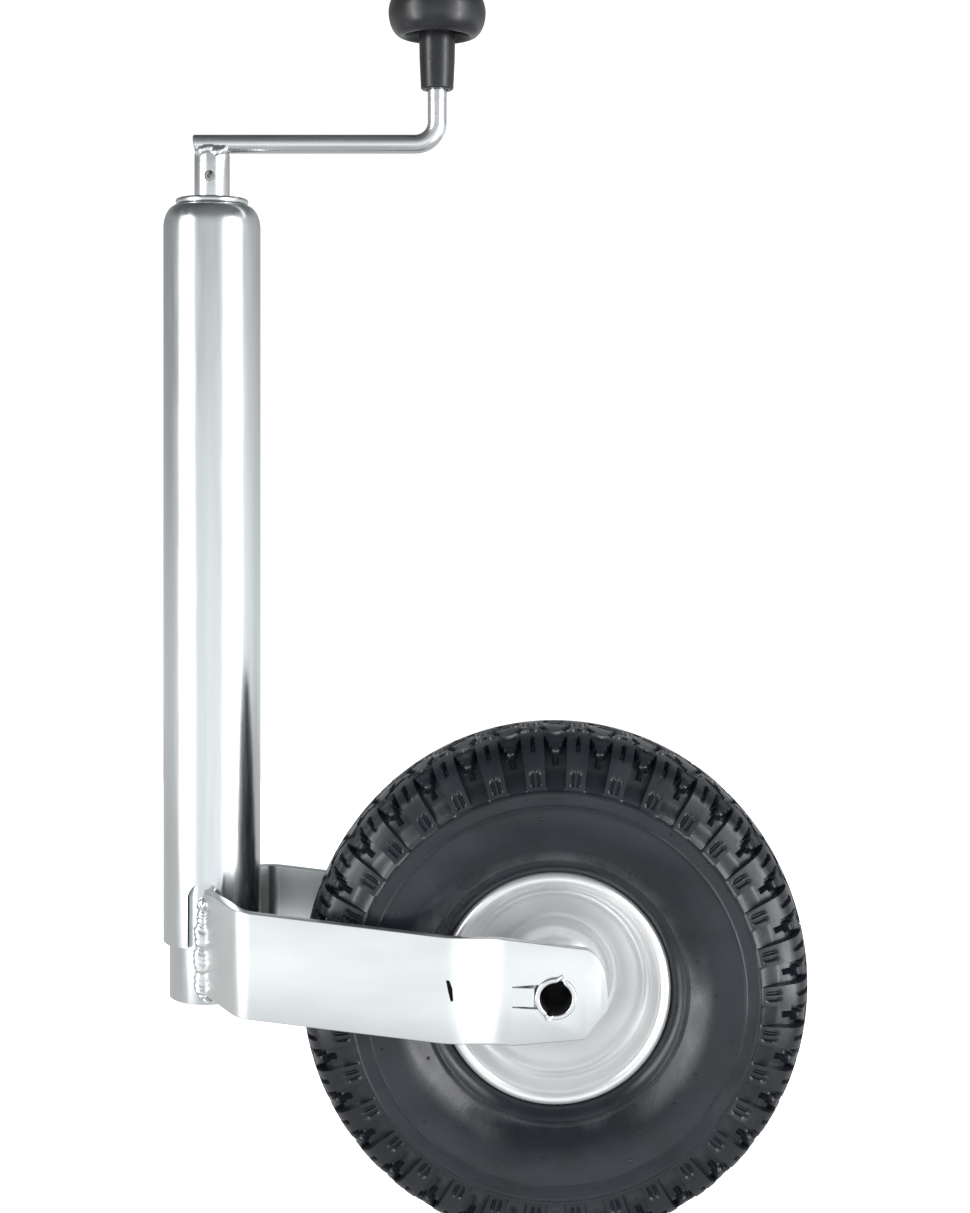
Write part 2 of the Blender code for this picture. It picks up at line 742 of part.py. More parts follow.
def air_tube_loop(inset):
    """The air tube's section: a full oval that fills the tyre and rests above the rim's well."""
    top = TYRE_OD / 2 - TREAD_THICKNESS - AIR_TUBE_ROOM
    foot = RIM_R - AIR_TUBE_ROOM
    radial = (top - foot) / 2
    side_room = TYRE_WIDTH / 2 - WALL_THICKNESS - AIR_TUBE_SIDE_ROOM
    axial = min(side_room, radial * AIR_TUBE_SPREAD)
    circle = arc((0, 0), 1, 1, 0, 2 * pi, 12)[:-1]
    loop = []
    for x, y in circle:
        reach = (abs(x) ** AIR_TUBE_FULLNESS + abs(y) ** AIR_TUBE_FULLNESS) ** (-1 / AIR_TUBE_FULLNESS)
        r = (top + foot) / 2 + x * reach * (radial - inset)
        loop.append((r, y * reach * (axial - inset)))
    return loop


def build_air_tube(axle):
    tube = wheel_piece("air_tube", air_tube_loop(0), RUBBER, axle)
    hollow = wheel_piece("air_tube_hollow", air_tube_loop(AIR_TUBE_WALL), RUBBER, axle)
    cut(tube, as_cutter(hollow))
    return tube


def build_valve(axle, far_rim, air_tube):
    """The valve stem, square to the far rim half's cone at its middle, and the stem's cap."""
    cone_out, cone_in = (Vector((r, -z)) for r, z in (rim_lip()[-1], rim_disc()[0]))
    on_cone = (cone_out + cone_in) / 2
    down_cone = (cone_in - cone_out).normalized()
    out = Vector((-down_cone.y, down_cone.x))
    radius = VALVE_OD / 2
    base = -(RIM_R - on_cone.x) / abs(out.x) - 2 * AIR_TUBE_WALL
    stem_top = VALVE_SHOWS

    def on_wheel(distance):
        """World place of a point on the valve's axis, at a distance past the rim's cone."""
        point = on_cone + out * distance
        across = Vector((cos(VALVE_ANGLE), 0, sin(VALVE_ANGLE))) * point.x
        return Vector((AXLE_X, -point.y, AXLE_Z)) + across

    place = on_wheel(0)
    turn = (on_wheel(1) - place).to_track_quat("Z", "Y").to_euler()
    stem = rod_profile(radius, base, stem_top)
    turned("valve_stem", stem, BRASS, axle, place, turn, SMALL)
    bore = radius + GAP
    drill([far_rim], "valve_hole", bore, on_wheel(-VALVE_OD), on_wheel(VALVE_OD))
    drill([air_tube], "valve_bore", bore, on_wheel(base - VALVE_OD), on_wheel(0))
    cap_top = stem_top + GAP + VALVE_CAP_WALL
    cap_foot = cap_top - VALVE_CAP_LENGTH
    cap = [
        (0, cap_top),
        (bore + VALVE_CAP_WALL, cap_top),
        (bore + VALVE_CAP_WALL, cap_foot),
        (bore, cap_foot),
        (bore, stem_top + GAP),
        (0, stem_top + GAP),
    ]
    turned("valve_cap", cap, BLACK_PLASTIC, axle, place, turn, SMALL)


clear_scene()
PARTS = make_collection("trailer_tongue_jack")
CUTTERS = make_collection("cutters")

build_outer_tube()
build_top_cap()
crank_body = build_crank(build_thrust_race())
build_knob_clip(crank_body)
build_knob(crank_body)
leg_body = build_leg()
build_wheel(leg_body)
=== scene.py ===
"""Trailer tongue jack: the visible pieces, their finishes and the studio.

All sizes are in metres. The outer tube's axis is Z, +X runs from it to the wheel, and -Y is near.
"""

import json
from math import cos, pi, radians, sin, sqrt, tan

import bmesh
import bpy
import numpy as np
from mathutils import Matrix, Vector


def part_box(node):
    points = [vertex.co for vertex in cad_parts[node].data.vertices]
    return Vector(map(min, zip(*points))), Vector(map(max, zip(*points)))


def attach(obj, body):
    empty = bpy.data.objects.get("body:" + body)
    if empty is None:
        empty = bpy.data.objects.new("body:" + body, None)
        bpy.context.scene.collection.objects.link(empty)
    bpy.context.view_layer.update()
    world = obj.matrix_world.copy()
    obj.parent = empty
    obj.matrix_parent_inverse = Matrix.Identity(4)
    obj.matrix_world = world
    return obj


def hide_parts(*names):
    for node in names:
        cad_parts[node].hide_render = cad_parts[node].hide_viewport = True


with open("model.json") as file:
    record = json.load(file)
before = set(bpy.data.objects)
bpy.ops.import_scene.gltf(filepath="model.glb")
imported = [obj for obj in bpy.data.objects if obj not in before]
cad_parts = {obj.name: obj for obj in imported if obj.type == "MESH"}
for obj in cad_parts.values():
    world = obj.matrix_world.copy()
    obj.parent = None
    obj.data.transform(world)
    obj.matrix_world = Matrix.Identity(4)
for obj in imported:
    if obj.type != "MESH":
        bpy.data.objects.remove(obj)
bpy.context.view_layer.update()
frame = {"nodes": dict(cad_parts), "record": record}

TURN = 2 * pi

# The lowest and highest corners of the CAD pieces
TUBE_LOW, TUBE_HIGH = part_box("outer_tube")
INNER_LOW, INNER_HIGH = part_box("inner_tube")
CAP_LOW, CAP_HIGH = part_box("top_cap")
BOSS_LOW, BOSS_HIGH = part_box("crank_boss")
ROD_LOW, ROD_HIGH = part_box("crank_rod")
KNOB_LOW, KNOB_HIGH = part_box("crank_knob")
PIN_LOW, PIN_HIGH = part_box("boss_spring_pin")
AXLE_LOW, AXLE_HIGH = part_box("axle_tube")
HUB_LOW, HUB_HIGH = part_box("hub_tube")
BUSH_LOW, BUSH_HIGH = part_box("hub_bush_far")
SPACER_LOW, SPACER_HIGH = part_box("axle_spacer_far")
TYRE_LOW, TYRE_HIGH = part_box("tyre")
NUT_PIN_LOW, NUT_PIN_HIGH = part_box("nut_pin_right")

JOINTS = {joint["name"]: joint for joint in frame["record"]["behaviour"]["joints"]}
GROUND = TYRE_LOW.z - JOINTS["leg_slide"]["range_m"][1]
AXLE_X = (AXLE_LOW.x + AXLE_HIGH.x) / 2
AXLE_Z = (AXLE_LOW.z + AXLE_HIGH.z) / 2
AXLE = (AXLE_X, 0.0, AXLE_Z)
TUBE_R = TUBE_HIGH.x
INNER_R = INNER_HIGH.x
CRANK_X = (KNOB_LOW.x + KNOB_HIGH.x) / 2
TYRE_R = TYRE_HIGH.z - AXLE_Z

# Sizes that the corners don't give
GAP = 0.0003  # between pieces that touch on the real jack
CUT_REACH = 0.03  # how far a pin hole's cutter reaches to each side; the slot's goes twice as far
WALL = 0.0025  # of the outer and the inner tube
SHOULDER_IN = 0.0068  # how far the outer tube's top is rolled in
SHOULDER_HEIGHT = 0.0115
JOURNAL_BORE = 0.0076
SLOT_HALF = 0.0085
SLOT_TOP = TUBE_LOW.z + 0.033
CAP_RIM_R = 0.0125  # where the cap's dish ends and its rounded rim starts
BOSS_BORE = 0.0063
PIN_HOLE = 0.00255
PIN_WALL = 0.0009
PIN_SHORT = 0.0008  # how far the spring pin's ends stand back from the CAD pin's
PIN_SLIT = radians(28)  # half the angle of the spring pin's slit
PIN_SLIT_AT = 1.2
ROD_R = 0.00475
ROD_BEND = 0.011
AXLE_R = 0.00975
AXLE_BORE = 0.0075
BUSH_WALL = 0.0022
BUSH_FLANGE = 0.002

# The fork arms. X places are from the axle, unless they are the root's
ARM_HALF = 0.0025  # half the bar's thickness
ARM_WIDE = 0.0515  # from the jack's middle plane to the bar's middle, beside the tyre
ARM_NARROW = 0.0415  # the same, at the axle
ARM_EDGE = 0.0007
ARM_BEND = 0.006
ARM_ROOT_X = 0.0015
ARM_ROOT_SUNK = 0.0005  # how far the root reaches into the inner tube's wall
ARM_SLOPE = tan(radians(7))
ARM_RISE = 0.025 / cos(radians(7))
ARM_FLARE = tan(radians(56))
ARM_HOLE = 0.01005
JOGGLE_START = 0.050
JOGGLE_END = 0.0266
NOSE = 0.0247
NOSE_TOP = 0.0136
NOSE_FOOT = 0.0086
NOSE_LOW = 0.0055
TAB_RISE = 0.0006
TAB_HALF = 0.0044
TAB_WINDOW = [(-0.0208, -0.0051), (-0.0070, -0.0060), (-0.0070, 0.0060), (-0.0208, 0.0051)]
NOTCH_DEPTH = 0.0040
NOTCH = [(0.0002, 0.0012), (0.0014, 0.0014), (0.0010, 0.0074), (-0.0004, 0.0112), (-0.0020, 0.0114),
         (-0.0010, 0.0060)]

# The wheel. A run is a length along the tyre's section from the middle of the tread
RIM_R = 0.0557
RIM_HALF = 0.0285
RIM_SHEET = 0.002
VALVE_HOLE = 0.0033
PITCHES = 34  # shoulder lugs round the tyre
LUG_TIP_RUN = 0.0445
LUG_END_RUN = 0.0585
SHEEN_RING_R = 0.0655  # the ring where the bead meets the side wall, painted lighter in patches as a painted sheen
RING_RADII = (0.0980, 0.0910, 0.0640)
RING_HEIGHTS = (0.0006, 0.0004, 0.0008)
VENTS = 26  # on each side wall
VENT_RUNS = [0.0600, 0.0700, 0.0790, 0.0880]

# The studio. The room's brightness in the metal goes by bearing in degrees from the near side, + to
# the right, and by height, from -1 straight down to 1 straight up
FLOOR_GLOW = 0.80  # how brightly the floor shines by itself
FLOOR_IN_METAL = 0.55  # how bright it looks in the metal
WHITE_BEHIND = 1.15
ROOM_AROUND = [(-180, 0.62), (-130, 0.56), (-100, 0.50), (-60, 0.75), (0, 1.00), (60, 0.85), (95, 0.95),
               (130, 0.75), (180, 0.62)]
ROOM_HEIGHT = [(-1.0, 0.45), (-0.5, 0.60), (-0.30, 1.20), (-0.14, 1.20), (0.0, 0.86), (0.14, 0.56),
               (0.32, 0.60), (0.55, 0.22), (1.0, 0.12)]
LIGHTS = [("left", -54, 1.15, 9.0), ("right", 59, 1.45, 11.5)]  # bearing, softbox width, softbox power


# Mesh helpers


def grid_faces(rows, columns, wrap_rows):
    """Quads over a grid of points whose columns close on themselves."""
    i, j = np.meshgrid(np.arange(rows if wrap_rows else rows - 1), np.arange(columns), indexing="ij")
    after_i = (i + 1) % rows
    after_j = (j + 1) % columns
    corners = [i * columns + j, i * columns + after_j, after_i * columns + after_j, after_i * columns + j]
    return np.stack(corners, -1).reshape(-1, 4)


def turned(profile, sides, axis="Z", centre=(0, 0, 0), closed=True):
    """Points and faces of a (radius, height) profile turned about an axis along Z or Y."""
    profile = np.array([tuple(p) for p in profile])
    angle = np.linspace(0, TURN, sides, endpoint=False)
    across = profile[:, :1] * np.cos(angle)
    up = profile[:, :1] * np.sin(angle)
    along = profile[:, 1:] + 0 * angle
    order = [across, up, along] if axis == "Z" else [across, along, up]
    points = np.stack(order, -1) + np.array(centre)
    return points.reshape(-1, 3), grid_faces(len(profile), sides, closed)


def soften(points, radius, steps=3, closed=True):
    """A profile with its corners rounded, each by no more than its edges allow."""
    corners = [Vector(p) for p in points]
    last = len(corners) - 1
    path = []
    for i, corner in enumerate(corners):
        if not closed and i in (0, last):
            path.append(corner)
            continue
        back = corners[i - 1] - corner
        ahead = corners[(i + 1) % len(corners)] - corner
        start = corner + back.normalized() * min(radius, 0.45 * back.length)
        end = corner + ahead.normalized() * min(radius, 0.45 * ahead.length)
        for k in range(steps + 1):
            t = k / steps
            path.append(start * (1 - t) ** 2 + corner * 2 * t * (1 - t) + end * t * t)
    return path


def flowing(points, steps):
    """A smooth curve through the points, with a number of steps between each two."""
    given = np.array(points, float)
    padded = np.vstack([2 * given[0] - given[1], given, 2 * given[-1] - given[-2]])
    path = []
    for a, b, c, d in zip(padded, padded[1:], padded[2:], padded[3:]):
        for k in range(steps):
            t = k / steps
            bend = (2 * a - 5 * b + 4 * c - d) * t * t + (3 * b - a - 3 * c + d) * t**3
            path.append((2 * b + (c - a) * t + bend) / 2)
    return np.array(path + [given[-1]])


def side_of(path):
    """The unit vector to the left of a flat path at each of its points."""
    along = np.gradient(np.array(path), axis=0)
    along /= np.linalg.norm(along, axis=1)[:, None]
    return np.stack([-along[:, 1], along[:, 0]], -1)


def arc(centre, radius_x, radius_y, start, end, steps):
    """Points of an elliptic arc, from the start angle to the end angle."""
    angles = np.linspace(start, end, steps + 1)
    return [(centre[0] + radius_x * cos(a), centre[1] + radius_y * sin(a)) for a in angles]


def mesh_object(name, points, faces):
    """A piece from points and faces, with doubled points merged and its faces turned outward."""
    mesh = bpy.data.meshes.new(name)
    mesh.from_pydata([tuple(map(float, p)) for p in points], [], [tuple(map(int, f)) for f in faces])
    shape = bmesh.new()
    shape.from_mesh(mesh)
    bmesh.ops.remove_doubles(shape, verts=shape.verts, dist=1e-7)
    bmesh.ops.recalc_face_normals(shape, faces=shape.faces)
    shape.to_mesh(mesh)
    shape.free()
    piece = bpy.data.objects.new(name, mesh)
    bpy.context.scene.collection.objects.link(piece)
    return piece


def prism(name, outline, low, high, axis="Y"):
    """A flat outline drawn out along Y, as (x, z) points, or along Z, as (x, y) points."""
    count = len(outline)
    place = (lambda p, d: (p[0], d, p[1])) if axis == "Y" else (lambda p, d: (p[0], p[1], d))
    points = [place(p, low) for p in outline] + [place(p, high) for p in outline]
    sides = [(i, (i + 1) % count, count + (i + 1) % count, count + i) for i in range(count)]
    ends = [range(count), range(2 * count - 1, count - 1, -1)]
    return mesh_object(name, points, sides + ends)


def swept(name, rings):
    """A closed tube of faces over a row of rings of points, with a flat face on each end."""
    count = len(rings[0])
    points = np.concatenate(rings)
    ends = [range(count), range(len(points) - count, len(points))]
    return mesh_object(name, points, grid_faces(len(rings), count, False).tolist() + ends)


def carve(piece, cutters):
    """Cuts each of the cutters out of the piece, and removes the cutters."""
    for cutter in cutters:
        modifier = piece.modifiers.new("Cut", "BOOLEAN")
        modifier.solver = "EXACT"
        modifier.object = cutter
    graph = bpy.context.evaluated_depsgraph_get()
    piece.data = bpy.data.meshes.new_from_object(piece.evaluated_get(graph))
    piece.modifiers.clear()
    for cutter in cutters:
        bpy.data.objects.remove(cutter)


def finished(piece, finish, body, slot, *nodes, sharp=32):
    """Gives a piece its material, its shading and its body, and hides the CAD nodes that it stands for."""
    piece.data.materials.clear()
    piece.data.materials.append(finish)
    piece.data.shade_smooth()
    piece.data.set_sharp_from_angle(angle=radians(sharp))
    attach(piece, body)
    if nodes:
        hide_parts(*nodes)
    return piece


def waves(seed, *places):
    """A smooth wandering value between about -1 and 1 at each place, the same on every run."""
    draw = np.random.default_rng(seed)
    total = 0
    for step in range(4):
        phase = draw.uniform(0, TURN)
        total = total + sin_sum(places, draw, step) * np.cos(phase) / (1 + step)
    return total


def sin_sum(places, draw, step):
    """One of the waves: a sine of the places, each stretched at random."""
    value = draw.uniform(0, TURN)
    for place in places:
        value = value + place * draw.uniform(0.6, 1.4) * (1 + step)
    return np.sin(value)


# Finishes


class Finish:
    """A procedural material on the piece's own coordinates."""

    def __init__(self, name, metallic):
        self.material = bpy.data.materials.new(name)
        self.material.use_nodes = True
        self.tree = self.material.node_tree
        self.shader = self.tree.nodes["Principled BSDF"]
        self.shader.inputs["Metallic"].default_value = metallic
        self.place = self.node("ShaderNodeTexCoord", {}).outputs["Object"]

    def node(self, kind, inputs, **settings):
        node = self.tree.nodes.new(kind)
        for key, value in settings.items():
            setattr(node, key, value)
        for key, value in inputs.items():
            if isinstance(value, bpy.types.NodeSocket):
                self.tree.links.new(value, node.inputs[key])
            else:
                node.inputs[key].default_value = value
        return node

    def noise(self, scale, stretch=(1, 1, 1), detail=3.0, rough=0.5):
        mapping = self.node("ShaderNodeMapping", {"Vector": self.place, "Scale": stretch})
        inputs = {"Vector": mapping.outputs[0], "Scale": scale, "Detail": detail, "Roughness": rough}
        return self.node("ShaderNodeTexNoise", inputs).outputs["Fac"]

    def fit(self, value, low, high, to_low=0.0, to_high=1.0):
        inputs = {"Value": value, 1: low, 2: high, 3: to_low, 4: to_high}
        return self.node("ShaderNodeMapRange", inputs).outputs[0]

    def blend(self, amount, first, second):
        colours = [c if isinstance(c, bpy.types.NodeSocket) else (*c, 1.0) for c in (first, second)]
        inputs = {0: amount, 6: colours[0], 7: colours[1]}
        return self.node("ShaderNodeMix", inputs, data_type="RGBA").outputs[2]

    def math(self, operation, first, second):
        return self.node("ShaderNodeMath", {0: first, 1: second}, operation=operation).outputs[0]

    def bump(self, height, distance, normal=None):
        inputs = {"Height": height, "Distance": distance, "Strength": 1.0}
        if normal is not None:
            inputs["Normal"] = normal
        return self.node("ShaderNodeBump", inputs).outputs["Normal"]

    def set(self, socket, value):
        if isinstance(value, bpy.types.NodeSocket):
            self.tree.links.new(value, self.shader.inputs[socket])
        else:
            self.shader.inputs[socket].default_value = value


def metal(name, dark, light, rough, grain, bump, metallic=1.0, specks=0.25):
    """Mottled metal: two shades, grain along one way, and scattered specks."""
    finish = Finish(name, metallic)
    mottle = finish.fit(finish.noise(38, grain, 4), 0.35, 0.65)
    speck = finish.fit(finish.noise(700, (1, 1, 1), 2), 0.70, 0.78, 0.0, specks)
    fine = finish.noise(420, grain, 3)
    tone = finish.blend(mottle, dark, light)
    finish.set("Base Color", finish.blend(speck, tone, tuple(0.35 * c for c in dark)))
    finish.set("Roughness", finish.fit(fine, 0.3, 0.7, rough[0], rough[1]))
    coarse = finish.bump(finish.noise(55, (1, 1, 1), 2), bump * 4)
    finish.set("Normal", finish.bump(fine, bump, coarse))
    return finish.material


def make_rubber(name, dark, light, rough, axle):
    """Moulded rubber: a cloudy bloom, fine grain, and a painted sheen, which is a ring where the bead
    meets the wall painted lighter in patches.
    """
    finish = Finish(name, 0.0)
    cloud = finish.noise(24, (1, 1, 1), 4, 0.6)
    tone = finish.blend(finish.fit(cloud, 0.35, 0.7), dark, light)
    offset = finish.node("ShaderNodeVectorMath", {0: finish.place, 1: axle}, operation="SUBTRACT")
    flat = finish.node("ShaderNodeVectorMath", {0: offset.outputs[0], 1: (1, 0, 1)}, operation="MULTIPLY")
    radius = finish.node("ShaderNodeVectorMath", {0: flat.outputs[0]}, operation="LENGTH").outputs["Value"]
    # Painted sheen: a ring round the axle where the bead meets the side wall, painted lighter in cloudy
    # patches in place of the lamps' highlights there
    near = finish.math("ABSOLUTE", finish.math("SUBTRACT", radius, SHEEN_RING_R), 0.0)
    painted_sheen = finish.math("MULTIPLY", finish.fit(near, 0.0, 0.004, 1.0, 0.0), finish.fit(cloud, 0.45, 0.65))
    finish.set("Base Color", finish.blend(finish.math("MULTIPLY", painted_sheen, 0.35), tone, (0.10, 0.10, 0.11)))
    finish.set("Roughness", finish.fit(finish.noise(90, (1, 1, 1), 3), 0.3, 0.7, rough[0], rough[1]))
    finish.set("Specular IOR Level", 0.5)
    grain = finish.bump(finish.noise(1500, (1, 1, 1), 2), 0.00004)
    uneven = finish.bump(finish.noise(22, (1, 1, 1), 1), 0.005, grain)
    finish.set("Normal", finish.bump(finish.noise(130, (1, 1, 1), 3), 0.00012, uneven))
    return finish.material


def make_plastic(name, dark, light, rough):
    """Moulded plastic: two close shades, fine grain and a faint unevenness."""
    finish = Finish(name, 0.0)
    finish.set("Base Color", finish.blend(finish.fit(finish.noise(60), 0.35, 0.65), dark, light))
    finish.set("Roughness", finish.fit(finish.noise(240), 0.3, 0.7, rough[0], rough[1]))
    finish.set("Specular IOR Level", 0.5)
    grain = finish.bump(finish.noise(1800, (1, 1, 1), 2), 0.000015)
    finish.set("Normal", finish.bump(finish.noise(45), 0.0001, grain))
    return finish.material


# How the metal's grain is stretched along X, Y and Z
DRAWN = (1, 1, 0.06)
ROLLED = (0.35, 1, 1)
BAR = (0.1, 1, 1)
TURNED = (1, 1, 1.6)
MACHINED = (0.2, 0.2, 3)
EVEN = (1, 1, 1)

ZINC_TUBE = metal(
    "zinc_drawn_tube", (0.635, 0.67, 0.68), (0.80, 0.82, 0.825), (0.18, 0.27), DRAWN, 0.000006)
ZINC_SHEET = metal(
    "zinc_rolled_bar", (0.79, 0.81, 0.815), (0.89, 0.905, 0.905), (0.29, 0.32), ROLLED, 0.0000025,
    specks=0.03)
ZINC_ROD = metal("zinc_round_bar", (0.68, 0.69, 0.71), (0.82, 0.82, 0.83), (0.18, 0.32), BAR, 0.00001)
ZINC_TURNED = metal(
    "zinc_turned", (0.66, 0.67, 0.68), (0.80, 0.81, 0.82), (0.20, 0.28), TURNED, 0.0000015, specks=0.1)
WELD = metal(
    "zinc_over_weld", (0.62, 0.62, 0.63), (0.90, 0.90, 0.90), (0.20, 0.40), EVEN, 0.00004, specks=0.4)
PAINT = metal(
    "rim_silver", (0.75, 0.76, 0.765), (0.83, 0.835, 0.84), (0.29, 0.32), EVEN, 0.000003,
    metallic=0.70, specks=0.02)
# Near black painted shade, put into the axle tube's bore and the arms' notches where shade falls inside
# them
PAINTED_SHADE = metal(
    "painted_shade_in_hollows", (0.02, 0.02, 0.02), (0.05, 0.05, 0.05), (0.55, 0.75), EVEN, 0.00002, metallic=0.3)
STEEL = metal("machined_steel", (0.42, 0.42, 0.42), (0.56, 0.56, 0.55), (0.25, 0.42), MACHINED, 0.00001)
BRONZE = metal("cast_bronze", (0.42, 0.26, 0.11), (0.60, 0.40, 0.19), (0.28, 0.45), EVEN, 0.00002)
BRASS = metal("turned_brass", (0.58, 0.42, 0.16), (0.76, 0.58, 0.27), (0.20, 0.34), EVEN, 0.00001)
BLACK = make_plastic("black_moulding", (0.007, 0.0075, 0.009), (0.012, 0.0125, 0.015), (0.24, 0.34))
NYLON = make_plastic("dark_nylon", (0.045, 0.045, 0.045), (0.075, 0.074, 0.070), (0.45, 0.60))
RUBBER = make_rubber(
    "tyre_rubber", (0.0052, 0.0067, 0.0097), (0.0100, 0.0123, 0.0172), (0.24, 0.34), AXLE)
INNER_RUBBER = make_rubber(
    "tube_rubber", (0.020, 0.020, 0.021), (0.032, 0.032, 0.034), (0.55, 0.72), AXLE)


# The outer tube and its cap


def make_outer_tube():
    """A drawn tube, rolled in at the top, with a round-topped slot through both walls at its foot."""
    shoulder = TUBE_HIGH.z - SHOULDER_HEIGHT
    neck = TUBE_R - SHOULDER_IN
    outside = arc((neck, shoulder), SHOULDER_IN, SHOULDER_HEIGHT, pi / 2, 0, 22)
    inside = arc((neck, shoulder), SHOULDER_IN - WALL, SHOULDER_HEIGHT - WALL, 0, pi / 2, 12)
    foot = soften([(TUBE_R, shoulder - 0.1), (TUBE_R, TUBE_LOW.z), (TUBE_R - WALL, TUBE_LOW.z),
                   (TUBE_R - WALL, shoulder - 0.1)], 0.0006, 4, False)
    lip = [(JOURNAL_BORE, TUBE_HIGH.z - WALL), (JOURNAL_BORE, TUBE_HIGH.z)]
    piece = mesh_object("outer_tube_shell", *turned(outside + foot + inside + lip, 192))
    half = SLOT_HALF
    low = TUBE_LOW.z - WALL
    outline = [(half, low)] + arc((0, SLOT_TOP - half), half, half, 0, pi, 24) + [(-half, low)]
    carve(piece, [prism("slot", outline, -2 * CUT_REACH, 2 * CUT_REACH)])
    finished(piece, ZINC_TUBE, "housing", "zinc_plated_steel", "outer_tube")


def make_top_cap():
    """A thin ring on the tube's rolled top, with a rounded rim."""
    edge = (CAP_HIGH.z - CAP_LOW.z) / 2
    middle = (CAP_HIGH.z + CAP_LOW.z) / 2
    rim = arc((CAP_HIGH.x - edge * 0.7, middle), edge * 0.7, edge, pi / 2, -pi / 2, 14)
    dish_z = CAP_HIGH.z - 0.0005
    dish = [(JOURNAL_BORE, CAP_LOW.z + 0.0003), (JOURNAL_BORE, dish_z), (CAP_RIM_R, dish_z)]
    piece = mesh_object("top_cap_ring", *turned(dish + rim, 128))
    finished(piece, ZINC_TURNED, "housing", "zinc_plated_steel", "top_cap")


# The crank


def make_boss():
    """The short tube on the spindle's end, with the slotted spring pin through it."""
    bore = BOSS_BORE
    loop = [(bore, BOSS_HIGH.z), (BOSS_HIGH.x, BOSS_HIGH.z), (BOSS_HIGH.x, BOSS_LOW.z), (bore, BOSS_LOW.z)]
    piece = mesh_object("crank_boss_tube", *turned(soften(loop, 0.0005), 96))
    pin_z = (PIN_LOW.z + PIN_HIGH.z) / 2
    outline = arc((0, pin_z), PIN_HOLE, PIN_HOLE, 0, TURN, 40)[:-1]
    carve(piece, [prism("pin_hole", outline, -CUT_REACH, CUT_REACH)])
    finished(piece, ZINC_TURNED, "crank", "zinc_plated_steel", "crank_boss")
    radius = (PIN_HIGH.z - PIN_LOW.z) / 2
    start = PIN_SLIT + PIN_SLIT_AT
    end = TURN - PIN_SLIT + PIN_SLIT_AT
    outer = arc((0, pin_z), radius, radius, start, end, 48)
    inner = arc((0, pin_z), radius - PIN_WALL, radius - PIN_WALL, end, start, 48)
    depth = PIN_HIGH.y - PIN_SHORT
    pin = prism("boss_roll_pin", outer + inner, -depth, depth)
    finished(pin, STEEL, "crank", "plain_steel", "boss_spring_pin")


def make_rod():
    """The bent bar, sawn off at a slant over the boss."""
    level = ROD_LOW.z + ROD_R
    slant = 0.15
    chamfer = 0.0006
    end_size = 0.86
    bend = arc((CRANK_X - ROD_BEND, level + ROD_BEND), ROD_BEND, ROD_BEND, -pi / 2, 0, 24)
    flat = [(ROD_LOW.x + 0.0003, level), (0.004, level), (0.05, level)] + bend
    path = np.array(flat + [(CRANK_X, KNOB_LOW.z), (CRANK_X, ROD_HIGH.z)])
    sides = side_of(path)
    angle = np.linspace(0, TURN, 56, endpoint=False)
    rings = []
    for (x, z), (side_x, side_z) in zip(path, sides):
        across = ROD_R * np.cos(angle)
        rings.append(np.stack([x + side_x * across, ROD_R * np.sin(angle), z + side_z * across], -1))
    rings[0][:, 0] -= slant * (rings[0][:, 2] - level) + 0.0001
    ends = [ring.mean(0) + (ring - ring.mean(0)) * end_size for ring in (rings[0], rings[-1])]
    ends[0][:, 0] -= chamfer
    ends[1][:, 2] += chamfer
    piece = swept("crank_rod_bar", [ends[0]] + rings + [ends[1]])
    finished(piece, ZINC_ROD, "crank", "zinc_plated_steel", "crank_rod")


def make_bead(name, path, width, height, seed, body):
    """A weld bead along a path in space: overlapping ripples of uneven size, closed at both ends."""
    ripple_length = 0.0034
    ripple_height = 0.06
    unevenness = 0.24
    wander = 800
    taper = 0.003
    count = 18
    path = flowing(path, 18)
    angle = np.linspace(0, TURN, count, endpoint=False)
    along = np.gradient(path, axis=0)
    along /= np.linalg.norm(along, axis=1)[:, None]
    travelled = np.concatenate([[0], np.cumsum(np.linalg.norm(np.diff(path, axis=0), axis=1))])
    rings = []
    for point, ahead, run in zip(path, along, travelled):
        up = np.cross(ahead, (0.3, 1.0, 0.2))
        up /= np.linalg.norm(up)
        out = np.cross(ahead, up)
        ripple = 1 + ripple_height * np.abs(np.sin(run * pi / ripple_length))
        uneven = 1 + unevenness * waves(seed, angle, np.full(count, run * wander))
        to_end = min(run, travelled[-1] - run, taper) / taper
        size = max(sqrt(1 - (1 - to_end) ** 2), 0.05) * ripple * uneven
        across = (np.cos(angle) * width * size)[:, None] * up
        rings.append(point + across + (np.sin(angle) * height * size)[:, None] * out)
    return finished(swept(name, rings), WELD, body, "zinc_plated_steel", sharp=80)


def make_crank_weld():
    """The bead round the boss's top, where the rod lies on it."""
    level = BOSS_HIGH.z + GAP
    reach = 0.0072
    hump = 0.0007
    ring = []
    for turn in np.linspace(0, TURN, 13)[:-1] + 0.35:
        height = level + hump * abs(sin(turn))
        ring.append((reach * cos(turn), 0.95 * reach * sin(turn), height))
    make_bead("crank_weld_near", [p for p in ring if p[1] < 0.0], 0.0025, 0.0028, 3, "crank")
    make_bead("crank_weld_far", [p for p in ring if p[1] >= 0.0], 0.0025, 0.0027, 4, "crank")


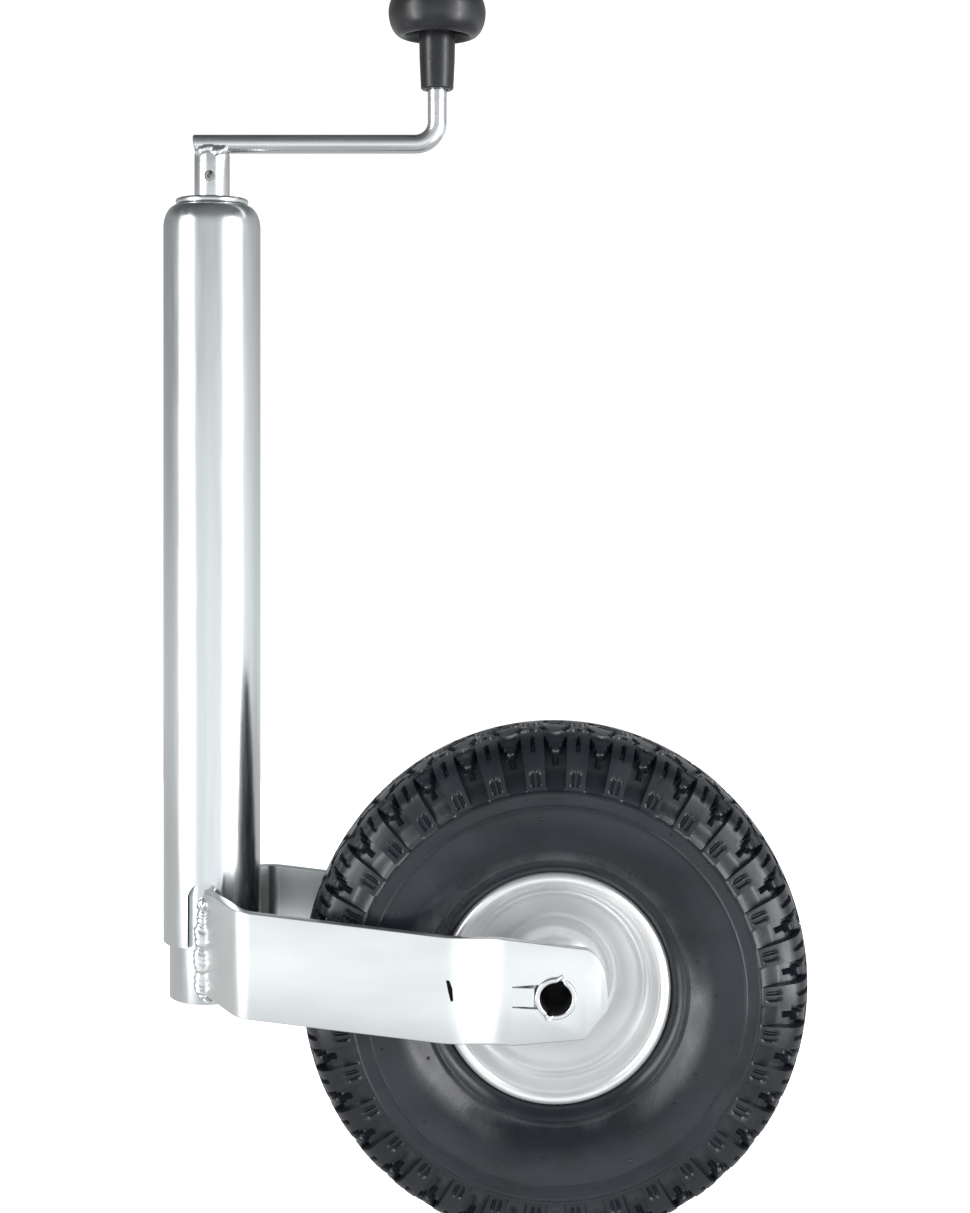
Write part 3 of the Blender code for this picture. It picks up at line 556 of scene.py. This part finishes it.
def make_knob():
    """A mushroom of moulded plastic: domed head, rounded skirt, hollow underside, tapered stem."""
    head = (KNOB_HIGH.x - KNOB_LOW.x) / 2
    widest = KNOB_HIGH.z - 0.0185
    skirt = KNOB_HIGH.z - 0.0308
    mouth = head - 0.0072
    dome = arc((0, widest), head, KNOB_HIGH.z - widest, pi / 2, 0, 36)
    under = arc((mouth, widest), head - mouth, widest - skirt, 0, -pi / 2, 18)[1:]
    foot = KNOB_LOW.z
    hollow = [
        (mouth - 0.0014, skirt + 0.0012),
        (mouth - 0.0018, skirt + 0.0062),
        (mouth - 0.0045, skirt + 0.0072),
        (0.0112, skirt + 0.0072),
        (0.0092, skirt + 0.0054),
        (0.0091, skirt + 0.0030),
        (0.0088, foot + 0.0145),
        (0.0082, foot + 0.0022),
        (0.0082, foot + 0.0008),
        (0.0075, foot),
        (0.0052, foot),
        (0.0052, foot + 0.003),
        (0.0, foot + 0.003),
    ]
    loop = dome + under + [tuple(p) for p in soften(hollow, 0.0008, 3, False)]
    points, faces = turned(loop, 96, centre=(CRANK_X, 0, 0), closed=False)
    piece = mesh_object("knob_moulding", points, faces)
    finished(piece, BLACK, "knob", "black_plastic", "crank_knob", sharp=50)


# The fork


def make_inner_tube():
    """The tube that the fork is welded to, with the holes for the nut's pins."""
    bore = INNER_R - WALL
    loop = [(bore, INNER_HIGH.z), (INNER_R, INNER_HIGH.z), (INNER_R, INNER_LOW.z), (bore, INNER_LOW.z)]
    piece = mesh_object("inner_tube_shell", *turned(soften(loop, 0.0005), 160))
    height = (NUT_PIN_LOW.z + NUT_PIN_HIGH.z) / 2
    radius = (NUT_PIN_HIGH.z - NUT_PIN_LOW.z) / 2 + GAP
    profile = [(0, -CUT_REACH), (radius, -CUT_REACH), (radius, CUT_REACH), (0, CUT_REACH)]
    points, faces = turned(profile, 24, closed=False)
    points = points[:, [2, 1, 0]] + np.array([0, 0, height])
    carve(piece, [mesh_object("pin_hole", points, faces)])
    finished(piece, ZINC_TUBE, "leg", "zinc_plated_steel", "inner_tube")


def arm_edges(x):
    """The heights of a fork arm's lower and upper edge above the axle, at a place along X."""
    past = x - AXLE_X
    low = -past * ARM_SLOPE - ARM_RISE
    high = -past * ARM_SLOPE + ARM_RISE
    if past > NOSE_TOP:
        share = min((past - NOSE_TOP) / (NOSE - NOSE_TOP), 1.0)
        high = (ARM_RISE - NOSE_TOP * ARM_SLOPE) * sqrt(1 - share**2)
    if past > NOSE_FOOT:
        share = (past - NOSE_FOOT) / (NOSE - NOSE_FOOT)
        low = (1 - share) * (-NOSE_FOOT * ARM_SLOPE - ARM_RISE) - share * NOSE_LOW
    return low, high


def make_arm(side, word):
    """A flat bar, bent out round the tyre and joggled in again, with its edges broken."""
    elbow_x = ARM_ROOT_X + (ARM_WIDE - INNER_R) / ARM_FLARE
    corners = [
        (ARM_ROOT_X - ARM_ROOT_SUNK / ARM_FLARE, INNER_R - ARM_ROOT_SUNK),
        (elbow_x, ARM_WIDE),
        (AXLE_X - JOGGLE_START, ARM_WIDE),
        (AXLE_X - JOGGLE_END, ARM_NARROW),
        (AXLE_X + NOSE_TOP, ARM_NARROW),
    ]
    path = [tuple(point) for point in soften(corners, ARM_BEND, 8, False)]
    nose = np.sin(np.linspace(0, pi / 2, 15)[1:])
    path += [(AXLE_X + NOSE_TOP + (NOSE - NOSE_TOP) * share, ARM_NARROW) for share in nose]
    path = np.array(path)
    normals = side_of(path)
    rings = []
    for (x, y), normal in zip(path, normals):
        low, high = arm_edges(x)
        box = [(-ARM_HALF, low), (ARM_HALF, low), (ARM_HALF, high), (-ARM_HALF, high)]
        section = soften(box, ARM_EDGE, 3)
        rings.append([(x + normal[0] * t, side * (y + normal[1] * t), AXLE_Z + z) for t, z in section])
    piece = swept("fork_arm_bar_" + word, rings)
    through = 0.006
    end_y = sorted((side * (ARM_NARROW - through), side * (ARM_NARROW + through)))
    hole = prism("hole", arc((AXLE_X, AXLE_Z), ARM_HOLE, ARM_HOLE, 0, TURN, 64)[:-1], *end_y)
    tab_z = AXLE_Z + TAB_RISE
    window = prism("window", [(AXLE_X + x, tab_z + z) for x, z in TAB_WINDOW], *end_y)
    outer_y = side * (ARM_WIDE + ARM_HALF)
    notch_x = AXLE_X - JOGGLE_START
    notch_y = sorted((outer_y - side * NOTCH_DEPTH, outer_y + side * 0.002))
    notch = prism("notch", [(notch_x + x, AXLE_Z + z) for x, z in NOTCH], *notch_y)
    carve(piece, [hole, window, notch])
    finished(piece, ZINC_SHEET, "leg", "zinc_plated_steel", "fork_arm_" + word, sharp=24)
    paint_shade_in_notch(piece, notch_x)
    make_tab(side, word, tab_z)


def paint_shade_in_notch(piece, notch_x):
    """Paints the walls and the bottom of the arm's notch near black, as painted shade in the recess."""
    middle_z = AXLE_Z + 0.0063
    half_width = 0.0021
    half_height = 0.0052
    bottom_y = ARM_WIDE + ARM_HALF - NOTCH_DEPTH
    piece.data.materials.append(PAINTED_SHADE)
    for face in piece.data.polygons:
        x, y, z = face.center
        in_notch = abs(x - notch_x) < half_width and abs(z - middle_z) < half_height
        wall = ARM_WIDE - 0.003 < abs(y) and abs(face.normal.y) < 0.7
        bottom = abs(abs(y) - bottom_y) < 0.0001
        face.material_index = int(in_notch and (wall or bottom))


def make_tab(side, word, height):
    """The tongue pressed out of the arm's end, which stops the axle tube from turning."""
    face = ARM_NARROW + ARM_HALF
    plan = [
        (AXLE_X - 0.0250, face - 0.0012),
        (AXLE_X - 0.0208, face - 0.00002),
        (AXLE_X - 0.0180, face + 0.0003),
        (AXLE_X - 0.0103, face + 0.0010),
        (AXLE_X - 0.0102, face - 0.0030),
        (AXLE_X - 0.0180, face - 0.0040),
        (AXLE_X - 0.0250, face - 0.0040),
    ]
    outline = [(x, side * y) for x, y in soften(plan, 0.0005, 3)]
    piece = prism("axle_tab_" + word, outline, height - TAB_HALF, height + TAB_HALF, "Z")
    finished(piece, ZINC_SHEET, "leg", "zinc_plated_steel", sharp=24)


def make_axle():
    """The axle tube, staked at two places on each end so that it can't slide out of the arms."""
    reach = AXLE_HIGH.y
    stake_length = 0.0017
    stake_angle = 0.16
    stake_spread = 0.0021
    stake_sink = 0.0009
    flare = 0.0002
    bright_end = 0.0014
    loop = [(AXLE_BORE, -reach), (AXLE_R, -reach), (AXLE_R, reach), (AXLE_BORE, reach)]
    profile = soften(loop, 0.0006, 4)
    refined = []
    for a, b in zip(profile, profile[1:] + profile[:1]):
        steps = 6 if abs(a[1] - b[1]) > 0.01 else 1
        refined += [a.lerp(b, k / steps) for k in range(steps)]
    points, faces = turned(refined, 144, "Y")
    radius = np.hypot(points[:, 0], points[:, 2])
    angle = np.arctan2(points[:, 2], points[:, 0])
    end = np.clip((np.abs(points[:, 1]) - reach + stake_length) / stake_length, 0, 1)
    for stake in (radians(72), radians(-112)):
        away = (angle - stake + pi) % TURN - pi
        push = np.exp(-((away / stake_angle) ** 2)) * end
        radius += push * stake_spread
        points[:, 1] -= np.sign(points[:, 1]) * push * stake_sink
    radius += end * flare
    points[:, 0] = radius * np.cos(angle) + AXLE_X
    points[:, 2] = radius * np.sin(angle) + AXLE_Z
    piece = mesh_object("axle_tube_staked", points, faces)
    finished(piece, ZINC_TURNED, "leg", "zinc_plated_steel", "axle_tube", sharp=50)
    # The bore, apart from a short length at each end, gets the near black painted shade
    piece.data.materials.append(PAINTED_SHADE)
    for face in piece.data.polygons:
        x, y, z = face.center
        deep = abs(y) < reach - bright_end
        face.material_index = int(deep and np.hypot(x - AXLE_X, z - AXLE_Z) < AXLE_BORE + 0.0004)


def make_spacers():
    """The rings that keep the wheel's hub between the arms."""
    for side, word in ((-1, "near"), (1, "far")):
        ends = (side * SPACER_LOW.y, side * SPACER_HIGH.y)
        outer = (SPACER_HIGH.x - SPACER_LOW.x) / 2
        inner = AXLE_R + GAP
        loop = soften([(inner, ends[1]), (outer, ends[1]), (outer, ends[0]), (inner, ends[0])], 0.0006)
        piece = mesh_object("axle_spacer_ring_" + word, *turned(loop, 96, "Y", AXLE))
        finished(piece, ZINC_TURNED, "leg", "zinc_plated_steel", "axle_spacer_" + word)


def make_root_welds():
    """The beads that join each arm's root to the inner tube, outside and inside the arm."""
    low = INNER_LOW.z + 0.0005
    high = AXLE_Z + 0.0385
    for side, word, seed in ((-1, "near", 11), (1, "far", 21)):
        surface = side * (INNER_R - 0.0004)
        outside = [
            (-0.0010, surface, low + 0.0016),
            (-0.0022, surface, low + 0.010),
            (-0.0026, surface, low + 0.024),
            (-0.0020, surface, low + 0.036),
            (-0.0016, surface, high - 0.008),
            (-0.0012, surface, high - 0.001),
        ]
        make_bead("root_weld_" + word, outside, 0.0029, 0.0024, seed, "leg")
        top = [
            (-0.0022, surface - side * 0.0002, high - 0.002),
            (0.0004, surface + side * 0.0010, high + 0.0012),
            (0.0034, surface + side * 0.0016, high - 0.0004),
            (0.0062, surface + side * 0.0010, high - 0.0036),
        ]
        make_bead("root_weld_top_" + word, top, 0.0033, 0.0030, seed + 1, "leg")
        foot = [
            (-0.0012, surface, low + 0.0024),
            (0.0010, surface + side * 0.0012, low + 0.0018),
            (0.0034, surface + side * 0.0010, low + 0.0020),
        ]
        make_bead("root_weld_foot_" + word, foot, 0.0014, 0.0014, seed + 2, "leg")


# The wheel


def make_hub():
    """The hub tube, and a flanged bush in each of its ends."""
    bore = AXLE_R + GAP + BUSH_WALL + GAP
    radius = (HUB_HIGH.x - HUB_LOW.x) / 2
    loop = [(bore, HUB_HIGH.y), (radius, HUB_HIGH.y), (radius, HUB_LOW.y), (bore, HUB_LOW.y)]
    piece = mesh_object("hub_sleeve", *turned(soften(loop, 0.0005), 128, "Y", AXLE))
    finished(piece, PAINT, "wheel", "zinc_plated_steel", "hub_tube")
    inner = AXLE_R + GAP
    sleeve = inner + BUSH_WALL
    flange_top = BUSH_HIGH.y
    flange_foot = flange_top - BUSH_FLANGE
    flange = (BUSH_HIGH.x - BUSH_LOW.x) / 2
    for side, word in ((-1, "near"), (1, "far")):
        loop = [(inner, flange_top), (flange, flange_top), (flange, flange_foot), (sleeve, flange_foot),
                (sleeve, BUSH_LOW.y), (inner, BUSH_LOW.y)]
        profile = [(r, side * y) for r, y in soften(loop, 0.0004)]
        piece = mesh_object("hub_bush_ring_" + word, *turned(profile, 128, "Y", AXLE))
        finished(piece, NYLON, "wheel", "nylon", "hub_bush_" + word)


def rim_path():
    """The middle of a rim half's sheet: rolled lip, bead seat, dished cone, meeting ring, hub boss."""
    lip = [
        (RIM_R - 0.0002, RIM_HALF - 0.0026),
        (RIM_R - 0.0007, RIM_HALF - 0.0010),
        (RIM_R - 0.0021, RIM_HALF - 0.0001),
        (RIM_R - 0.0038, RIM_HALF - 0.0008),
        (RIM_R - 0.0050, RIM_HALF - 0.0030),
        (RIM_R - 0.0060, RIM_HALF - 0.0080),
        (RIM_R - 0.0070, RIM_HALF - 0.0112),
        (RIM_R - 0.0086, RIM_HALF - 0.0132),
        (RIM_R - 0.0112, RIM_HALF - 0.0146),
        (0.0420, 0.0098),
        (0.0375, 0.0056),
    ]
    disc = [
        (0.0333, 0.0021),
        (0.0316, 0.00125),
        (0.0298, 0.00115),
        (0.0286, 0.0014),
        (0.0277, 0.0032),
    ]
    boss = arc((0.0173, 0.005), 0.0096, 0.0138, radians(12), radians(86), 7)
    return flowing(lip + disc + boss, 5)


def make_rims():
    """The two pressed rim halves, the far one with the valve's hole."""
    path = rim_path()
    normals = side_of(path)
    left = path + normals * RIM_SHEET / 2
    right = path - normals * RIM_SHEET / 2
    loop = np.vstack([left, right[::-1]])
    for side, word in ((-1, "near"), (1, "far")):
        profile = loop * np.array([1, side])
        piece = mesh_object("rim_pressing_" + word, *turned(profile, 160, "Y", AXLE))
        if side > 0:
            cut = 0.006
            rod = [(0, cut), (VALVE_HOLE, cut), (VALVE_HOLE, -cut), (0, -cut)]
            points, faces = turned(rod, 32, closed=False)
            carve(piece, [mesh_object("valve_hole", on_valve(points), faces)])
        finished(piece, PAINT, "wheel", "rim_paint", "rim_half_" + word, sharp=40)


def on_valve(points):
    """Points round Z, moved to the valve's axis where it crosses the far rim half's cone."""
    turn = radians(35)
    r, y, out_r, out_y = 0.03985, 0.007875, -0.6775, 0.7355
    place = Vector((AXLE_X + r * cos(turn), y, AXLE_Z + r * sin(turn)))
    along = Vector((out_r * cos(turn), out_y, out_r * sin(turn)))
    matrix = np.array(along.to_track_quat("Z", "Y").to_matrix())
    return points @ matrix.T + np.array(place)


def make_valve():
    """The valve's stem, threaded along its top, and its cap with grip ribs."""
    stem_r = 0.0030
    root_r = 0.0027
    top = 0.014
    foot = -0.0265
    half_pitch = 0.00035
    profile = [(0.0, top), (0.0016, top), (0.0018, top - 0.0003)]
    height = top - 0.0004
    while height > 0.0015:
        profile += [(stem_r, height), (root_r, height - half_pitch)]
        height -= 2 * half_pitch
    profile += [(stem_r, 0.001), (stem_r, foot), (0.0, foot)]
    points, faces = turned(profile, 40, closed=False)
    piece = mesh_object("valve_stem_threaded", on_valve(points), faces)
    finished(piece, BRASS, "wheel", "brass", "valve_stem", sharp=60)
    bore, outer = 0.0033, 0.0047
    cap_top, cap_foot, roof = 0.0157, 0.0077, 0.0143
    loop = [(0, cap_top), (outer, cap_top), (outer, cap_foot), (bore, cap_foot), (bore, roof), (0, roof)]
    points, faces = turned(soften(loop, 0.0007, 4, False), 120, closed=False)
    radius = np.hypot(points[:, 0], points[:, 1])
    angle = np.arctan2(points[:, 1], points[:, 0])
    grip = (radius > outer - 0.0003) & (points[:, 2] < cap_top - 0.0009)
    scale = np.where(grip, 1 - 0.05 * (np.cos(angle * 20) > 0.2), 1.0)
    points[:, :2] *= scale[:, None]
    piece = mesh_object("valve_cap_ribbed", on_valve(points), faces)
    finished(piece, BLACK, "wheel", "black_plastic", "valve_cap", sharp=50)


def step(value, low, high):
    """0 below low, 1 above high, and a smooth rise between them."""
    t = np.clip((value - low) / (high - low), 0, 1)
    return t * t * (3 - 2 * t)


def groove(distance, half_width, edge=0.0005):
    """1 within half_width of a line, 0 outside it, with sides as wide as edge."""
    return 1 - step(distance, half_width - edge / 2, half_width + edge / 2)


def tyre_section():
    """The outside of half the tyre from the middle of the tread to the bead's toe, finely stepped."""
    half = TYRE_HIGH.y
    span = TYRE_R - RIM_R
    shape = [
        (1.000, -0.38), (1.000, 0.00), (0.988, 0.38), (0.955, 0.66), (0.900, 0.83), (0.800, 0.918),
        (0.670, 0.975), (0.560, 0.998), (0.480, 1.000), (0.390, 0.984), (0.300, 0.950), (0.235, 0.900),
        (0.165, 0.825), (0.115, 0.775), (0.085, 0.760),
    ]
    points = [(RIM_R + f * span, w * half) for f, w in shape]
    points[0] = (RIM_R + 0.988 * span, -0.38 * half)
    bead = [
        (RIM_R + 0.0035, RIM_HALF + 0.0021),
        (RIM_R + 0.0014, RIM_HALF - 0.0006),
        (RIM_R - 0.0003, RIM_HALF - 0.0036),
        (RIM_R - 0.0033, RIM_HALF - 0.0043),
        (RIM_R - 0.0045, RIM_HALF - 0.0095),
        (RIM_R - 0.0049, RIM_HALF - 0.0130),
    ]
    fine = flowing(points + bead, 60)[60:]
    run = np.concatenate([[0], np.cumsum(np.linalg.norm(np.diff(fine, axis=0), axis=1))])
    rings = [run[np.argmin(np.abs(fine[:, 0] - r) + (run < 0.04))] for r in RING_RADII]
    wanted = list(np.arange(0, 0.0365, 0.0010)) + list(np.arange(0.0365, LUG_END_RUN, 0.0009))
    wanted += list(np.arange(LUG_END_RUN, run[-1], 0.0019)) + [run[-1]]
    for ring in rings:
        wanted = [w for w in wanted if abs(w - ring) > 0.0013]
        wanted += [ring + offset for offset in (-0.0012, -0.0007, -0.0003, 0.0, 0.0003, 0.0007, 0.0012)]
    wanted = np.array(sorted(wanted))
    section = np.stack([np.interp(wanted, run, fine[:, k]) for k in (0, 1)], -1)
    return section, wanted, rings


def tread_depth(run, across, rings):
    """How far the tread pattern lies below the blocks' tops. run goes from the middle of the tread
    down the side, across goes round the tyre from the middle of a shoulder lug."""
    pitch = TURN * TYRE_R / PITCHES
    saw = np.abs((across / pitch) % 1 - 0.5) * 4 - 1
    v = (across + pitch / 2) % pitch - pitch / 2
    between = pitch / 2 - np.abs(v)

    # The zigzag grooves in the middle and beside it, the slots that cut the blocks between them, and
    # a diamond-shaped hollow over each lug
    centre = groove(np.abs(run - 0.0052 * (1 + saw) / 2 - 0.0004), 0.0015) * 0.0048
    middle = groove(np.abs(run - 0.0190 + 0.0042 * saw), 0.0017) * 0.0050
    link = groove(np.abs(np.abs(v) - 0.0042 - 0.35 * (run - 0.008)), 0.0009) * 0.0042
    link = link * step(run, 0.0035, 0.0045) * (1 - step(run, 0.0165, 0.0175))
    diamond = groove(np.abs(run - 0.0285) / 1.35 + np.abs(v) / 0.9, 0.0020, 0.0008) * 0.0032

    # The recesses between the shoulder lugs, each partly filled by a V-shaped tip
    lug_edge = step(np.abs(v), 0.0056, 0.0062)
    fade = 1 - step(run, 0.046, LUG_END_RUN)
    recess = lug_edge * step(run, 0.0245, 0.0262) * (0.0040 * fade + 0.0002 * (run < 0.058))
    to_tip = LUG_TIP_RUN - run
    tip = groove(between - np.maximum(to_tip, 0) * 0.28, 0.0, 0.0008) * step(to_tip, 0.0, 0.0012)
    recess = recess * (1 - 0.85 * tip)

    # The two engraved lines at a lug's foot, and the notch at its top
    line = groove(np.abs(np.abs(v) - 0.0016), 0.00055, 0.0003)
    line = line * step(run, 0.0478, 0.0486) * (1 - step(run, 0.0545, 0.0553)) * 0.0012
    notch = groove(np.abs(v), 0.0011, 0.0005)
    notch = notch * step(run, 0.0300, 0.0310) * (1 - step(run, 0.0375, 0.0385)) * 0.0022
    depth = np.maximum.reduce([centre, middle, link, diamond, recess, line, notch])
    for ring, height in zip(rings, RING_HEIGHTS):
        depth = depth - height * np.exp(-(((run - ring) / 0.0006) ** 2))
    return depth


def tyre_columns():
    """Angles round the tyre, closest together where the lugs have their edges."""
    pitch = TURN / PITCHES
    steps = [0.0, 0.0006, 0.0011, 0.0013, 0.0019, 0.0021, 0.0032, 0.0044, 0.0056, 0.0062, 0.0072, 0.0085,
             0.0098]
    inside = np.array(steps) / TYRE_R
    offsets = np.concatenate([-inside[:0:-1], inside, [pitch / 2]])
    return np.concatenate([k * pitch + offsets for k in range(PITCHES)])


def make_tyre():
    """The tyre as one closed skin, from the tread over both side walls to the lining."""
    section, runs, rings = tyre_section()
    slopes = np.gradient(section, axis=0)
    slopes /= np.linalg.norm(slopes, axis=1)[:, None]
    outward = np.stack([slopes[:, 1], -slopes[:, 0]], -1)
    angles = tyre_columns()
    halves = []
    for side, shift in ((-1, 0.0), (1, 0.5)):
        across = (angles + shift * TURN / PITCHES) * TYRE_R
        depth = tread_depth(runs[:, None], across[None, :], rings)
        r = section[:, :1] - outward[:, :1] * depth
        y = side * (section[:, 1:] - outward[:, 1:] * depth)
        halves.append(np.stack([r + 0 * angles, y + 0 * angles], -1))
    near, far = halves
    crown = (near[:1] + far[:1]) / 2
    crown_inside = TYRE_R - 0.010
    inside = [(RIM_R - 0.0035, 0.0140), (RIM_R + 0.0040, 0.0205), (0.0700, 0.0310), (0.0850, 0.0362),
              (0.1000, 0.0355), (0.1100, 0.0285), (crown_inside, 0.0120)]
    lining = np.array([(r, -y) for r, y in inside] + [(r, y) for r, y in inside[::-1]])
    lining = np.repeat(lining[:, None, :], len(angles), 1)
    rows = np.concatenate([crown, near[1:], lining, far[:0:-1]])
    points = np.stack([
        AXLE_X + rows[..., 0] * np.cos(angles),
        rows[..., 1],
        AXLE_Z + rows[..., 0] * np.sin(angles)], -1)
    faces = grid_faces(len(rows), len(angles), True)
    vents, vent_faces = make_vents(section, runs, len(rows) * len(angles))
    points = np.vstack([points.reshape(-1, 3), vents])
    piece = mesh_object("tyre_moulded", points, faces.tolist() + vent_faces)
    finished(piece, RUBBER, "wheel", "tyre_rubber", "tyre", sharp=42)


def make_vents(section, runs, first):
    """The stubs of rubber that a mould's vents leave on the side walls."""
    draw = np.random.default_rng(5)
    sides = 8
    points = []
    faces = []
    for side in (-1, 1):
        for place in range(VENTS):
            run = draw.choice(VENT_RUNS) + draw.uniform(-0.0008, 0.0008)
            turn = (place + draw.uniform(-0.3, 0.3)) * TURN / VENTS
            r = np.interp(run, runs, section[:, 0])
            y = np.interp(run, runs, section[:, 1])
            size = draw.uniform(0.0005, 0.0009)
            out = np.array([0.0, side * 1.0, 0.0])
            radial = np.array([cos(turn), 0.0, sin(turn)])
            round_way = np.array([-sin(turn), 0.0, cos(turn)])
            base = np.array(AXLE) + radial * r + out * y
            start = first + len(points)
            for level, width in ((-0.0006, 1.0), (0.0003, 1.0), (0.0006, 0.6)):
                for k in range(sides):
                    turned_by = k * TURN / sides
                    offset = radial * cos(turned_by) + round_way * sin(turned_by)
                    points.append(base + out * level + offset * size * width)
            for ring in range(2):
                for k in range(sides):
                    a = start + ring * sides + k
                    b = start + ring * sides + (k + 1) % sides
                    faces.append([a, b, b + sides, a + sides])
            faces.append([start + 2 * sides + k for k in range(sides)])
            faces.append([start + k for k in range(sides)][::-1])
    return np.array(points), faces


# The CAD pieces that stay, mostly hidden inside the others

KEPT = {
    "thrust_race": STEEL,
    "thrust_washer": BRONZE,
    "spindle_collar": STEEL,
    "spindle": STEEL,
    "collar_pin": STEEL,
    "knob_clip": STEEL,
    "spindle_nut": BRONZE,
    "nut_pin_left": STEEL,
    "nut_pin_right": STEEL,
    "air_tube": INNER_RUBBER,
}


def paint_kept_nodes():
    """Gives the CAD pieces that stay their finishes."""
    for name, finish in KEPT.items():
        for slot in frame["nodes"][name].material_slots:
            slot.material = finish


# The studio


def make_floor():
    """A pale floor, faintly mottled and lightly lit from below. It lies where the tyre comes down to when
    the leg is wound right out, and it looks duller in the metal than it is."""
    low_x, high_x, low_y, high_y = -1.8, 2.1, -0.40, 2.4
    corners = [(low_x, low_y), (high_x, low_y), (high_x, high_y), (low_x, high_y)]
    floor = mesh_object("floor", [(x, y, GROUND) for x, y in corners], [(0, 1, 2, 3)])
    finish = Finish("floor_white", 0.0)
    finish.set("Base Color", finish.blend(finish.noise(3), (0.90, 0.90, 0.90), (0.93, 0.93, 0.93)))
    finish.set("Roughness", 0.9)
    finish.set("Emission Color", (1, 1, 1, 1))
    finish.set("Emission Strength", FLOOR_GLOW)
    dull = finish.node("ShaderNodeEmission", {"Color": (1, 1, 1, 1), "Strength": FLOOR_IN_METAL})
    rays = finish.node("ShaderNodeLightPath", {})
    both = finish.node("ShaderNodeMixShader", {0: rays.outputs["Is Glossy Ray"]})
    link = finish.tree.links.new
    link(finish.shader.outputs[0], both.inputs[1])
    link(dull.outputs[0], both.inputs[2])
    link(both.outputs[0], finish.tree.nodes["Material Output"].inputs["Surface"])
    floor.data.materials.append(finish.material)


def make_softbox(name, bearing, distance, width, height, centre_z, power):
    """A tall soft light at a bearing from the near side, turned to face the jack."""
    light = bpy.data.lights.new(name, "AREA")
    light.shape = "RECTANGLE"
    light.size = width
    light.size_y = height
    light.energy = power
    lamp = bpy.data.objects.new(name, light)
    bpy.context.scene.collection.objects.link(lamp)
    turn = radians(bearing)
    middle_x = 0.05
    lamp.location = (middle_x + distance * sin(turn), -distance * cos(turn), centre_z)
    lamp.rotation_euler = (pi / 2, 0, turn)


def make_world():
    """White behind the jack, and a grey room for the metal to reflect."""
    world = bpy.data.worlds.new("studio")
    bpy.context.scene.world = world
    world.use_nodes = True
    nodes = world.node_tree.nodes
    link = world.node_tree.links.new

    def ramp(value, low, high, stops):
        fit = nodes.new("ShaderNodeMapRange")
        fit.inputs[1].default_value = low
        fit.inputs[2].default_value = high
        link(value, fit.inputs["Value"])
        shades = nodes.new("ShaderNodeValToRGB")
        link(fit.outputs[0], shades.inputs[0])
        elements = shades.color_ramp.elements
        elements.remove(elements[1])
        for k, (place, shade) in enumerate(stops):
            position = (place - low) / (high - low)
            element = elements[0] if k == 0 else elements.new(position)
            element.position = position
            element.color = (0.98 * shade, shade, 1.01 * shade, 1)
        return shades.outputs[0]

    parts = nodes.new("ShaderNodeSeparateXYZ")
    link(nodes.new("ShaderNodeTexCoord").outputs["Generated"], parts.inputs[0])
    toward = nodes.new("ShaderNodeMath")
    toward.operation = "MULTIPLY"
    toward.inputs[1].default_value = -1.0
    link(parts.outputs["Y"], toward.inputs[0])
    bearing = nodes.new("ShaderNodeMath")
    bearing.operation = "ARCTAN2"
    link(parts.outputs["X"], bearing.inputs[0])
    link(toward.outputs[0], bearing.inputs[1])
    degree = nodes.new("ShaderNodeMath")
    degree.operation = "MULTIPLY"
    degree.inputs[1].default_value = 180 / pi
    link(bearing.outputs[0], degree.inputs[0])
    shade = nodes.new("ShaderNodeMix")
    shade.data_type = "RGBA"
    shade.blend_type = "MULTIPLY"
    shade.inputs[0].default_value = 1.0
    link(ramp(degree.outputs[0], -180, 180, ROOM_AROUND), shade.inputs[6])
    link(ramp(parts.outputs["Z"], -1, 1, ROOM_HEIGHT), shade.inputs[7])
    room = nodes["Background"]
    link(shade.outputs[2], room.inputs["Color"])
    plain = nodes.new("ShaderNodeBackground")
    plain.inputs["Color"].default_value = (1, 1, 1, 1)
    plain.inputs["Strength"].default_value = WHITE_BEHIND
    rays = nodes.new("ShaderNodeLightPath")
    mix = nodes.new("ShaderNodeMixShader")
    link(rays.outputs["Is Glossy Ray"], mix.inputs[0])
    link(plain.outputs[0], mix.inputs[1])
    link(room.outputs[0], mix.inputs[2])
    link(mix.outputs[0], nodes["World Output"].inputs["Surface"])


def make_camera():
    """A level camera on the near side."""
    camera = bpy.data.cameras.new("camera")
    camera.lens = 56.4
    camera.sensor_width = 36
    camera.shift_x = -0.029
    camera.shift_y = -0.1307
    holder = bpy.data.objects.new("camera", camera)
    bpy.context.scene.collection.objects.link(holder)
    holder.location = (0.154, -0.95, 0.062)
    holder.rotation_euler = (pi / 2, 0, 0)
    bpy.context.scene.camera = holder


make_outer_tube()
make_top_cap()
make_boss()
make_rod()
make_crank_weld()
make_knob()
make_inner_tube()
for side, word in ((-1, "near"), (1, "far")):
    make_arm(side, word)
make_axle()
make_spacers()
make_root_welds()
make_hub()
make_rims()
make_valve()
make_tyre()
paint_kept_nodes()

make_floor()
for word, bearing, width, power in LIGHTS:
    make_softbox("softbox_" + word, bearing, 1.6, width, height=1.9, centre_z=0.02, power=power)
    make_softbox("strip_" + word, bearing, 1.55, width=0.30, height=1.5, centre_z=0.15, power=10)
make_world()
make_camera()
bpy.context.scene.view_settings.view_transform = "Standard"
